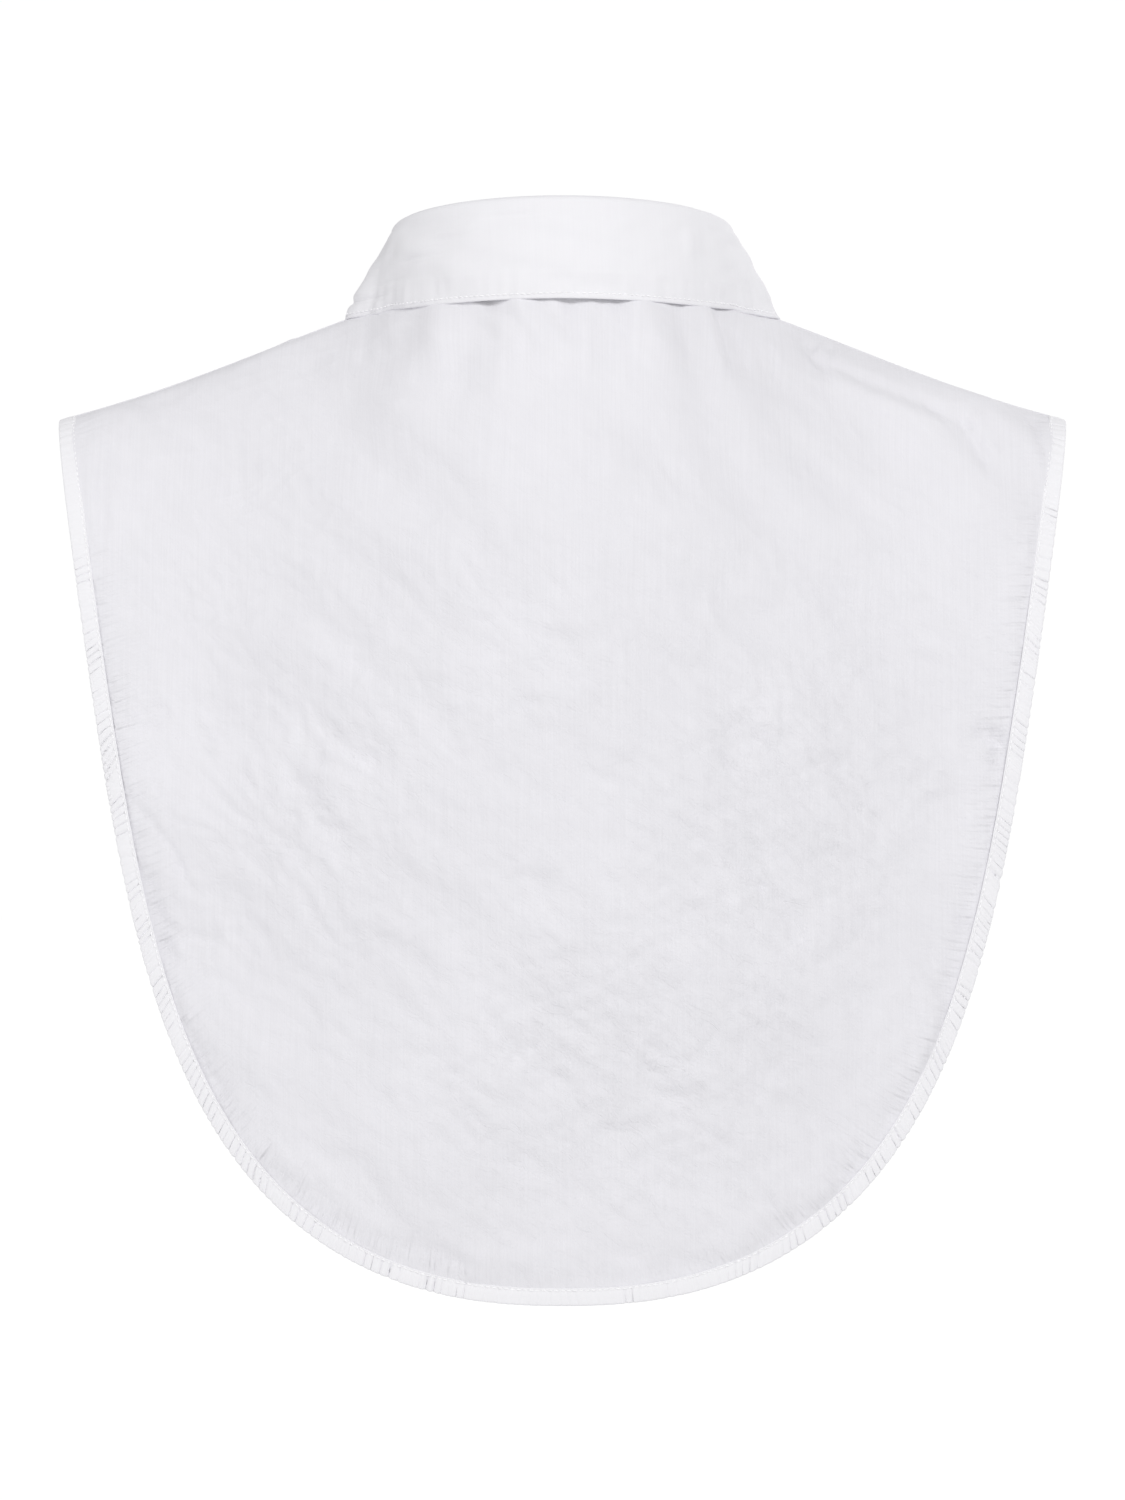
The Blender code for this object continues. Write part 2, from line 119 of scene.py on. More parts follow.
def bibOutline(shape, inset):
    share = smoothStep(np.linspace(0.0, 1.0, outline["samples"]))
    straight = mix(shoulder["halfWidth"], shape["hemHalfWidth"], share)
    x = straight * (1.0 - share ** outline["fullness"]) ** (1.0 / outline["squareness"])
    drop = share * shape["length"]
    flat = np.stack([np.concatenate([x, -x[-2::-1]]), np.concatenate([drop, drop[-2::-1]])], axis=1)
    along = unit(np.gradient(flat, axis=0))
    inward = np.stack([-along[:, 1], along[:, 0]], axis=1)
    inward[0], inward[-1] = (-1.0, 0.0), (1.0, 0.0)  # the shoulder ends stay level
    flat = flat + inward * inset
    x, drop = flat[:, 0], np.maximum(flat[:, 1], 0.0)
    slope = (shoulder["drop"] - neck["sideDrop"]) / (shoulder["halfWidth"] - neck["halfWidth"])
    top = slope * (shoulder["halfWidth"] - np.abs(x)) * np.exp(-drop / hem["width"])
    across = np.minimum((x / shoulder["halfWidth"]) ** 2, 1.0)
    roll = np.sqrt(1.0 - np.exp(-drop / shoulder["roll"]))
    depth = shape["centreDepth"] * roll**2 * (1.0 - across) + shape["sideDepth"] * roll * across
    return np.stack([x, shape["facing"] * depth, top - shoulder["drop"] - drop], axis=1)


def lengthsAlong(points, axis=0):
    steps = np.linalg.norm(np.diff(points, axis=axis), axis=-1)
    return np.concatenate([0.0 * steps.take([0], axis), np.cumsum(steps, axis=axis)], axis=axis)


def pointAlong(points, lengths, at):
    return np.stack([np.interp(at, lengths, points[:, k]) for k in range(3)], axis=-1)


def bibFan(shape, angles, ends, inset):
    edge = bibOutline(shape, inset)
    lengths = lengthsAlong(edge)
    middle, quarter = len(edge) // 2, len(edge) // 4
    near = slice(middle - quarter, middle + quarter)

    def place(end):  # a word for a shoulder, or a width near the middle of the front
        if end == "left":
            return 0.0
        if end == "right":
            return lengths[-1]
        return float(np.interp(-end, -edge[near, 0], lengths[near]))

    return {"shape": shape, "angles": angles, "edge": edge, "lengths": lengths,
            "ends": (place(ends[0]), place(ends[1]))}


def fanLines(fan, share):
    angle, at = mix(*fan["angles"], share), mix(*fan["ends"], share)
    return angle, ringPoint(angle, 0.0, -seams["neckGap"]), pointAlong(fan["edge"], fan["lengths"], at), at


def fanPoint(fan, share, reach):
    angle, start, end, _ = fanLines(fan, share)
    turn = np.radians(angle)
    rise = 27.0 / 4.0 * reach * (1.0 - reach) ** 2  # 1 at its highest
    found = mix(start, end, reach[..., None])
    found[..., 1] += fan["shape"]["facing"] * fan["shape"]["bulge"] * np.cos(turn) ** 2 * rise
    nearShoulder = np.abs(np.sin(turn)) ** 8
    found[..., 2] += nearShoulder * shoulder["lift"] * rise
    found[..., 2] -= nearShoulder * shoulder["sag"] * np.sin(np.pi * reach)
    return found


def outwardNormals(grid, outward):
    across = np.gradient(grid, axis=0)
    down = np.gradient(grid, axis=1)
    found = unit(np.cross(across, down))
    return found * np.sign(np.sum(found * outward, axis=-1).mean() or 1.0)


def fanNormal(fan, share, reach):
    step = 0.004
    low, high = np.maximum(share - step, 0.0), np.minimum(share + step, 1.0)
    far = np.maximum(reach, step)
    across = fanPoint(fan, high, far) - fanPoint(fan, low, far)
    down = fanPoint(fan, share, reach + step) - fanPoint(fan, share, np.maximum(reach - step, 0.0))
    found = unit(np.cross(across, down))
    clockwise = 1.0 if fan["angles"][1] > fan["angles"][0] else -1.0
    return found * clockwise


# seams overlap a little, so that no light shows through them
seams = {"neckGap": 0.1 * mm, "gap": 0.4 * mm, "sunk": 0.5 * mm}
hem = {
    "width": 6.8 * mm, "tuck": 2.5 * mm, "cells": 2060, "across": 14, "thickness": 1.5 * mm,
    "innerThickness": 0.80 * mm, "stitchInset": 0.9 * mm, "groove": 0.26 * mm, "grooveWidth": 0.5 * mm,
    "edgeWave": 0.24 * mm, "sunk": 0.32 * mm,
}
placket = {
    "halfWidth": 15.0 * mm, "turnIn": 2.0 * mm, "thickness": 2.2 * mm, "lift": 2.15 * mm,
    "stitchInset": 5.0 * mm, "groove": 0.12 * mm, "grooveWidth": 0.5 * mm, "ripple": 0.22 * mm,
    "flatBeside": 14.0 * mm, "across": 32, "down": 300,
}
backFan = bibFan(backShape, (90.0, -90.0), ("left", "right"), hem["tuck"])
leftEdge, rightEdge = -placket["halfWidth"] + seams["gap"], -placket["halfWidth"] - seams["gap"]
leftFan = bibFan(frontShape, (90.0, neckAngleAt(leftEdge)), ("left", leftEdge), hem["tuck"])
rightFan = bibFan(frontShape, (270.0, neckAngleAt(rightEdge)), ("right", rightEdge), hem["tuck"])


# noise at many points at once, from -1 to 1
def noiseAt(*places):
    points = np.stack(np.broadcast_arrays(*places), axis=-1)
    values = [noise.noise(Vector(point)) for point in points.reshape(-1, 3)]
    return np.array(values).reshape(points.shape[:-1])


def wrinkleNoise(x, z, along, across, angle, seed):
    a = math.radians(angle)
    u = (x * math.cos(a) + z * math.sin(a)) / along
    v = (-x * math.sin(a) + z * math.cos(a)) / across
    return noiseAt(u, v, seed)


def creaseHeight(x, z, creases):
    total = np.zeros_like(x)
    for row in creases:
        start, end = np.array(row["start"]) * mm, np.array(row["end"]) * mm
        line = end - start
        length = np.linalg.norm(line)
        share = ((x - start[0]) * line[0] + (z - start[1]) * line[1]) / length**2
        away = ((x - start[0]) * line[1] - (z - start[1]) * line[0]) / length
        away = away + row.get("bend", 0.0) * mm * 4.0 * share * (1.0 - share)
        taper = smoothStep(3.0 * share + 0.5) * smoothStep(3.0 * (1.0 - share) + 0.5)
        total += row["rise"] * mm * taper * bell(away, 0.0, row["width"] * mm)
    return total


# puckers of the stitched hem: valleys across it, uneven in depth, spacing and slant, fading into the bib
pucker = {
    "depth": 1.15 * mm, "period": 3.5 * mm, "intoBib": 9.0 * mm, "atStitches": 0.18,
    "fromStitches": 2.4 * mm, "slant": 0.9, "slantLength": 0.035, "drift": 1.3, "driftLength": 0.019,
    "swellLength": 0.0085, "broad": 1.5 * mm, "broadPeriod": 13.0 * mm, "broadLength": 0.02, "broadLean": 0.1,
    "bumpPeriod": 2.3 * mm, "bumpLean": 0.18,
}
puckerStrength = table(
    "share strength",
    (0.0, 0.40),
    (0.020, 0.35),
    (0.035, 0.12),
    (0.065, 0.15),
    (0.085, 0.90),
    (0.44, 1.0),
    (0.48, 0.45),
    (0.55, 0.45),
    (0.60, 0.85),
    (0.935, 0.90),
    (0.955, 0.25),
    (1.0, 0.45),
)
hemLength = bibFan(backShape, (0.0, 1.0), ("left", "right"), 0.0)["lengths"][-1]


def puckerLevel(share):
    return np.interp(share, column(puckerStrength, "share"), column(puckerStrength, "strength"))


def puckerHeight(share, outward, seed):
    strength = puckerLevel(share)
    along = share * hemLength
    along = along + noiseAt(along / pucker["slantLength"], seed + 3.0, 0.0) * pucker["slant"] * outward
    drift = noiseAt(along / pucker["driftLength"], seed, 0.0) * pucker["drift"]
    swell = noiseAt(along / pucker["swellLength"], seed + 7.0, 0.0)
    turn = math.pi * (along / pucker["period"] + drift)
    valley = (0.5 + 0.5 * np.cos(2.0 * turn)) ** 1.6
    small = (0.5 + 0.5 * np.cos(3.8 * turn + 1.2)) ** 1.3
    deep = np.clip(0.5 + 1.5 * swell, 0.05, 1.4)
    return -pucker["depth"] * strength * (valley * deep + 0.25 * small)


# a closed thin piece round a middle surface, with pinched edges; its hidden side has half the points
def shellObject(name, grid, flat, half, outward, material, relief=None, marks=None):
    normals = outwardNormals(grid, outward)
    if relief is not None:
        grid = grid + normals * relief[..., None]
        normals = outwardNormals(grid, outward)
    lines, rows = grid.shape[:2]
    thick = np.broadcast_to(half, (lines, rows))[..., None]
    outer, inner = grid + normals * thick, grid - normals * thick
    for edge in (np.s_[0, :], np.s_[-1, :], np.s_[:, 0], np.s_[:, -1]):
        outer[edge] = grid[edge]
    number = np.arange(lines * rows).reshape(lines, rows)
    inside = number.copy()
    every = np.s_[2:-2:2, 2:-2:2]
    inside[every] = lines * rows + np.arange(inside[every].size).reshape(inside[every].shape)
    side = np.cross(outer[1:, :-1] - outer[:-1, :-1], outer[:-1, 1:] - outer[:-1, :-1])
    turned = bool(np.sum(side * normals[:-1, :-1]) < 0.0)
    corners = [number[:-1, :-1], number[1:, :-1], number[1:, 1:], number[:-1, 1:]]
    faces = np.stack([c.ravel() for c in corners], axis=1)
    faces = (faces[:, ::-1] if turned else faces).tolist()
    for line in range(0, lines - 1, 2):
        for row in range(0, rows - 1, 2):
            ring = [(line, row), (line + 1, row), (line + 2, row), (line + 2, row + 1),
                    (line + 2, row + 2), (line + 1, row + 2), (line, row + 2), (line, row + 1)]
            kept = [
                inside[a, b] for a, b in ring
                if (a % 2 == 0 and b % 2 == 0) or a in (0, lines - 1) or b in (0, rows - 1)
            ]
            faces.append(kept if turned else kept[::-1])

    def bothSides(seen, behind):  # the outer points, then the hidden inner ones
        return np.concatenate([part.reshape(-1, *part.shape[2:]) for part in (seen, behind[every])])

    piece = meshObject(name, bothSides(outer, inner), faces, bothSides(flat, flat), material)
    for label, values in (marks or {}).items():
        kind, field = ("FLOAT_VECTOR", "vector") if values.ndim == 3 else ("FLOAT", "value")
        layer = piece.data.attributes.new(label, kind, "POINT")
        layer.data.foreach_set(field, bothSides(values, values).astype(np.float32).ravel())
    return piece, outer, normals


def addObject(name, data):
    made = bpy.data.objects.new(name, data)
    bpy.context.collection.objects.link(made)
    return made


def meshObject(name, points, faces, places, material):
    mesh = bpy.data.meshes.new(name)
    mesh.from_pydata(points.tolist(), [], faces)
    corners = np.empty(len(mesh.loops), np.int32)
    mesh.loops.foreach_get("vertex_index", corners)
    layer = mesh.uv_layers.new(name="flatCloth")
    layer.data.foreach_set("uv", places[corners].astype(np.float32).ravel())
    mesh.shade_smooth()
    mesh.materials.append(material)
    return addObject(name, mesh)


# shares from 0 to 1 that crowd towards both ends, where the cloth turns round its edge
def edgeShares(cells, edge):
    crowd = np.array([0.0, 0.05, 0.18, 0.38, 0.65, 1.0]) * edge
    inside = np.linspace(edge, 1.0 - edge, cells - 9)[1:-1]
    return np.concatenate([crowd, inside, (1.0 - crowd)[::-1]])


def roundEdge(distance, half):
    return half * np.sqrt(np.clip(1.0 - (1.0 - np.minimum(distance / half, 1.0)) ** 2, 0.0, 1.0))


print("making materials")


# its inputs are a vector and the named numbers, with what these hold at first; its outputs are numbers
def newGroup(name, numbers, outputs):
    group = bpy.data.node_groups.new(name, "ShaderNodeTree")
    add = group.interface.new_socket
    add(name="Vector", in_out="INPUT", socket_type="NodeSocketVector")
    for label, value in numbers.items():
        add(name=label, in_out="INPUT", socket_type="NodeSocketFloat").default_value = value
    for label in outputs:
        add(name=label, in_out="OUTPUT", socket_type="NodeSocketFloat")
    return group, group.nodes.new("NodeGroupInput"), group.nodes.new("NodeGroupOutput")


def setInputs(node, values):
    for key, value in values.items():
        node.inputs[key].default_value = value


def addNode(tree, kind, settings=None, values=None):
    node = tree.nodes.new("ShaderNode" + kind)
    for key, value in (settings or {}).items():
        setattr(node, key, value)
    setInputs(node, values or {})
    return node


def mathNode(tree, operation, *values):
    node = addNode(tree, "Math", {"operation": operation})
    for place, value in zip(node.inputs, values):
        if isinstance(value, (int, float)):
            place.default_value = value
        else:
            tree.links.new(value, place)
    return node.outputs[0]


def noiseNode(tree, vector, scale, **values):
    node = addNode(tree, "TexNoise", values={"Scale": scale, **values})
    tree.links.new(vector, node.inputs["Vector"])
    return node.outputs["Fac"]


def mappingNode(tree, vector, **values):
    node = addNode(tree, "Mapping", values=values)
    tree.links.new(vector, node.inputs["Vector"])
    return node.outputs[0]


def rampNode(tree, value, *ends):
    node = addNode(tree, "ValToRGB")
    for element, (position, colour) in zip(node.color_ramp.elements, ends):
        element.position = position
        element.color = (*colour, 1.0)
    tree.links.new(value, node.inputs[0])
    return node.outputs[0]


def newMaterial(name, values):
    material = bpy.data.materials.new(name)
    material.use_nodes = True
    shader = material.node_tree.nodes["Principled BSDF"]
    setInputs(shader, values)
    return material, material.node_tree, shader


# plain weave: two sets of threads that pass over and under each other
def makeWeave():
    group, start, end = newGroup("poplinWeave", {"Pitch": 0.35 * mm}, ("Height", "Tone"))
    link = group.links.new
    split = addNode(group, "SeparateXYZ")
    link(start.outputs["Vector"], split.inputs[0])
    turns = []
    for axis in ("X", "Y"):
        share = mathNode(group, "DIVIDE", split.outputs[axis], start.outputs["Pitch"])
        turns.append(mathNode(group, "MULTIPLY", share, 2.0 * math.pi))
    warp = mathNode(group, "SINE", turns[0])
    weft = mathNode(group, "SINE", turns[1])
    over = mathNode(group, "MULTIPLY", warp, weft)
    ridge = mathNode(group, "ABSOLUTE", mathNode(group, "SINE", mathNode(group, "MULTIPLY", turns[0], 0.5)))
    ridge = mathNode(group, "MULTIPLY", ridge, 0.35)
    link(mathNode(group, "ADD", mathNode(group, "MULTIPLY", over, 0.5), ridge), end.inputs["Height"])
    slubs = mappingNode(group, start.outputs["Vector"], Scale=(1400.0, 22.0, 1.0))
    link(noiseNode(group, slubs, 1.0, Detail=3.0, Roughness=0.6), end.inputs["Tone"])
    return group


# soft crumple: broad waves with fine sharp creases in them; the broad waves also give its tone, which paints
# shade into the low parts of the crumple
def makeCrumple():
    group, start, end = newGroup("clothCrumple", {"Size": 1.0}, ("Height", "Tone"))
    link = group.links.new
    turned = mappingNode(group, start.outputs["Vector"], Rotation=(0.0, 0.0, math.radians(-38.0)))
    slanted = mappingNode(group, turned, Scale=(0.5, 1.0, 1.0))
    wide = noiseNode(group, slanted, 120.0, Detail=4.0, Roughness=0.55, Distortion=0.8)
    sharp = noiseNode(group, slanted, 210.0, Detail=5.0, Roughness=0.6, Distortion=1.6)
    away = mathNode(group, "ABSOLUTE", mathNode(group, "SUBTRACT", sharp, 0.5))
    ridge = mathNode(group, "SUBTRACT", 1.0, mathNode(group, "MULTIPLY", away, 5.0))
    ridge = mathNode(group, "MULTIPLY", mathNode(group, "MAXIMUM", ridge, 0.0), 0.35)
    height = mathNode(group, "ADD", wide, ridge)
    link(mathNode(group, "MULTIPLY", height, start.outputs["Size"]), end.inputs["Height"])
    # painted shade: the tone is the broad waves, darker where the crumple lies low
    link(wide, end.inputs["Tone"])
    return group


# fine puckers beside a hem, drawn from the length along it, the way to it and how strong they are there
def makePuckers():
    group, start, end = newGroup("hemPuckers", {}, ("Height",))
    link = group.links.new
    split = addNode(group, "SeparateXYZ")
    link(start.outputs["Vector"], split.inputs[0])
    along, toHem, strength = split.outputs
    leaning = mathNode(group, "ADD", along, mathNode(group, "MULTIPLY", toHem, pucker["bumpLean"]))
    spot = addNode(group, "CombineXYZ")
    link(mathNode(group, "DIVIDE", leaning, pucker["bumpPeriod"]), spot.inputs["X"])
    link(mathNode(group, "DIVIDE", toHem, 2.2 * pucker["intoBib"]), spot.inputs["Y"])
    waves = noiseNode(group, spot.outputs[0], 1.0, Detail=1.5, Roughness=0.5)
    centred = mathNode(group, "SUBTRACT", waves, 0.5)
    link(mathNode(group, "MULTIPLY", centred, strength), end.inputs["Height"])
    return group


weaveGroup = makeWeave()
crumpleGroup = makeCrumple()
puckerGroup = makePuckers()


def cottonMaterial(name, look):
    material, tree, shader = newMaterial(name, {
        "Sheen Weight": look["sheen"], "Sheen Roughness": 0.5, "Specular IOR Level": 0.25,
    })
    link = tree.links.new
    place = addNode(tree, "UVMap", {"uv_map": "flatCloth"})
    weave = addNode(tree, "Group", {"node_tree": weaveGroup}, {"Pitch": look["pitch"]})
    crumple = addNode(tree, "Group", {"node_tree": crumpleGroup})
    puckers = addNode(tree, "Group", {"node_tree": puckerGroup})
    link(place.outputs[0], weave.inputs["Vector"])
    link(place.outputs[0], crumple.inputs["Vector"])
    worn = addNode(tree, "Attribute", {"attribute_name": "wear"})
    size = mathNode(tree, "MULTIPLY", mathNode(tree, "ADD", worn.outputs["Fac"], 0.15), look["crumple"])
    link(size, crumple.inputs["Size"])
    beside = addNode(tree, "Attribute", {"attribute_name": "hemPlace"})
    link(beside.outputs["Vector"], puckers.inputs["Vector"])
    cloudy = noiseNode(tree, place.outputs[0], 14.0, Detail=3.0, Roughness=0.5)
    tone = mathNode(tree, "ADD", mathNode(tree, "MULTIPLY", weave.outputs["Tone"], 0.38),
                    mathNode(tree, "MULTIPLY", cloudy, 0.35))
    # the crumple's tone paints shade into the cloth where its bump lies low; the weave and cloudy tones
    # differ at random
    tone = mathNode(tree, "ADD", tone, mathNode(tree, "MULTIPLY", crumple.outputs["Tone"], 0.20))
    link(rampNode(tree, tone, (0.30, look["shade"]), (0.70, look["light"])), shader.inputs["Base Color"])
    rough = addNode(tree, "MapRange", values={"To Min": 0.78, "To Max": 0.95})
    link(weave.outputs["Tone"], rough.inputs["Value"])
    link(rough.outputs[0], shader.inputs["Roughness"])
    normal = None
    for group, strength, depth in ((puckers, 1.0, "puckerDepth"), (crumple, 1.0, "crumpleDepth"),
                                   (weave, 0.5, "weaveDepth")):
        bump = addNode(tree, "Bump", values={"Strength": strength, "Distance": look[depth]})
        link(group.outputs["Height"], bump.inputs["Height"])
        if normal:
            link(normal, bump.inputs["Normal"])
        normal = bump.outputs[0]
    link(normal, shader.inputs["Normal"])
    return material


cotton = {
    "light": (0.845, 0.837, 0.873), "shade": (0.768, 0.760, 0.793), "sheen": 0.05, "pitch": 0.55 * mm,
    "weaveDepth": 0.03 * mm, "crumple": 1.0, "crumpleDepth": 0.32 * mm, "puckerDepth": 2.4 * mm,
}
bibCotton = cottonMaterial("bibCotton", cotton)
hemLook = {
    **cotton, "light": (0.886, 0.880, 0.904), "shade": (0.854, 0.848, 0.872), "crumpleDepth": 0.12 * mm,
}
fallLook = {**hemLook, "light": (0.862, 0.856, 0.884), "shade": (0.828, 0.822, 0.850)}
threadLook = {
    **cotton, "light": (0.965, 0.96, 0.975), "shade": (0.945, 0.94, 0.955), "crumpleDepth": 0.02 * mm,
}
hemCotton = cottonMaterial("hemCotton", hemLook)
fallCotton = cottonMaterial("fallCotton", fallLook)
threadCotton = cottonMaterial("threadCotton", threadLook)


# pressed-in creases, folds and dents of the back, in mm from the middle of the neck
backCreases = table(
    "start end width rise bend",
    ((57, -6), (54, -44), 5.0, -0.4),
    ((50, -6), (46, -44), 4.6, 0.5),
    ((68, -8), (66, -26), 2.6, 0.5),
    ((76, -12), (78, -32), 3.0, -0.5),
    ((37, -5), (22, -20), 2.4, 0.9),
    ((30, -5), (16, -16), 2.2, -0.9),
    ((19, -5), (5, -28), 2.8, 1.0),
    ((10, -5), (-4, -22), 2.2, -0.8),
    ((-3, -4), (-2, -16), 3.0, -1.0),
    ((-11, -5), (-10, -34), 3.0, 0.9),
    ((-21, -4), (-25, -26), 2.8, -1.0),
    ((-32, -5), (-22, -30), 3.0, 0.6),
    ((-45, -6), (-50, -34), 3.4, -0.7),
    ((-55, -7), (-62, -36), 2.8, 1.2),
    ((-60, -9), (-66, -30), 2.0, -0.9),
    ((-64, -8), (-70, -34), 3.0, -0.6),
    ((-69, -12), (-77, -34), 2.6, 0.7),
    ((-91, -14), (-107, -37), 3.0, -1.4),
    ((-97, -20), (-101, -22), 2.4, -0.8),
    ((-104, -21), (-108, -23), 2.4, -0.8),
    ((-102, -27), (-147, -47), 2.8, -1.1, 1.0),
    ((-102, -33), (-146, -53), 3.2, 0.8, 1.0),
    ((-144, -46), (-160, -54), 2.8, -1.3),
    ((-158, -52), (-167, -70), 2.8, -1.3),
    ((-162, -49), (-172, -68), 3.0, 0.8),
    ((-173, -44), (-187, -52), 2.6, -1.1),
    ((-186, -51), (-192, -68), 2.6, -1.6),
    ((182, -62), (180, -96), 3.0, -1.4),
    ((184, -118), (160, -132), 4.0, -0.5),
    ((172, -171), (157, -173), 1.9, -1.4),
    ((165, -204), (145, -234), 2.0, -1.2, -1.5),
    ((156, -213), (147, -229), 1.8, -0.5, -1.0),
    ((170, -190), (154, -222), 4.5, 0.45, -2.0),
    ((146, -252), (134, -256), 3.0, -1.0),
    ((141, -268), (124, -273), 3.4, -0.9),
    ((-161, -173), (-178, -180), 3.6, -1.9),
    ((-166, -186), (-178, -181), 2.4, -1.3),
    ((-150, -214), (-168, -204), 4.0, 0.5),
    ((74, -368), (30, -382), 2.4, -1.2, -1.5),
    ((26, -385), (-32, -385), 2.2, -0.7),
    ((-70, -374), (-104, -352), 2.6, -0.5),
    ((-26, -138), (-44, -154), 5.0, -1.0),
    ((24, -130), (-16, -134), 5.0, 0.4),
    ((-78, -164), (-104, -188), 4.6, 0.6),
    ((-66, -172), (-96, -202), 4.2, -1.1),
    ((-84, -206), (-118, -214), 4.0, 0.45),
    ((-66, -222), (-92, -254), 4.4, -1.0),
    ((104, -190), (74, -228), 5.0, -1.0),
    ((92, -216), (112, -248), 5.0, 0.45),
    ((6, -250), (-34, -286), 5.0, 0.5),
    ((-6, -262), (-44, -300), 4.4, -0.4),
    ((-52, -306), (-84, -312), 6.0, 0.5),
)
crumpleSpots = table(
    "x z reach strength",
    (-86, -182, 46, 0.60),
    (-80, -242, 34, 0.50),
    (92, -206, 40, 0.60),
    (-14, -276, 52, 0.5),
    (20, -140, 40, 0.35),
    (30, -330, 70, 0.30),
    (-60, -320, 50, 0.35),
)
crumpleTurns = table(
    "turn along across strength sharp",
    (38, 0.026, 0.0085, 0.50, 2.4),
    (-24, 0.022, 0.0075, 0.34, 2.4),
    (66, 0.017, 0.0062, 0.30, 2.2),
)
bib = {
    "backCells": 470, "frontCells": 200, "rows": 164, "frontRows": 120, "thickness": 0.8 * mm,
    "crumple": 2.0 * mm, "crumpleGrow": 0.02, "creaseGrow": 0.006, "shoulderFade": 12.0 * mm,
    "calm": 0.24, "lowWear": 0.26, "lowFrom": 60.0 * mm, "lowOver": 80.0 * mm,
    "foldHeight": 1.8 * mm, "foldReach": 28.0 * mm,
    "dip": 0.85 * mm, "dipPlace": 8.5 * mm, "dipWidth": 3.4 * mm, "dipChanges": 22.0,
}
# long waves; turn is in degrees, grow is the way from the neck in which they come up
bibWaves = table(
    "along across turn seed height grow",
    (0.12, 0.045, 38.0, 50.0, 3.2 * mm, 0.05),
    (0.055, 0.022, 44.0, 60.0, 2.7 * mm, 0.03),
)
softFolds = table(
    "place spread height reach",
    (0.19, 0.040, -0.25, 1.2),
    (0.27, 0.040, 0.6, 1.0),
    (0.35, 0.036, -0.8, 0.8),
    (0.42, 0.030, 0.8, 0.7),
    (0.47, 0.024, 0.5, 0.5),
    (0.555, 0.048, -1.0, 0.7),
    (0.65, 0.036, 0.9, 1.0),
    (0.71, 0.026, -0.4, 1.2),
    (0.77, 0.034, 0.6, 1.4),
    (0.84, 0.034, -0.5, 1.2),
    (0.90, 0.030, 0.5, 1.0),
)


def foldHeight(share, down):
    total = np.zeros_like(share)
    for fold in softFolds:
        far = down / (bib["foldReach"] * fold["reach"])
        across = bell(share, fold["place"], fold["spread"])
        total += fold["height"] * across * far * np.exp(1.0 - far)
    return total * bib["foldHeight"]


def crumpleHeight(x, z, seed):
    warpX = wrinkleNoise(x, z, 0.035, 0.035, 0.0, seed + 20.0) * 0.008
    warpZ = wrinkleNoise(x, z, 0.035, 0.035, 0.0, seed + 30.0) * 0.008
    x, z = x + warpX, z + warpZ
    total = 0.5 * wrinkleNoise(x, z, 0.026, 0.011, 40.0, seed)
    for number, crease in enumerate(crumpleTurns):
        waves = wrinkleNoise(x, z, crease["along"], crease["across"], crease["turn"], seed + 5.0 * number)
        ridge = np.maximum(1.0 - crease["sharp"] * np.abs(waves), 0.0)
        total += crease["strength"] * ridge
    return total


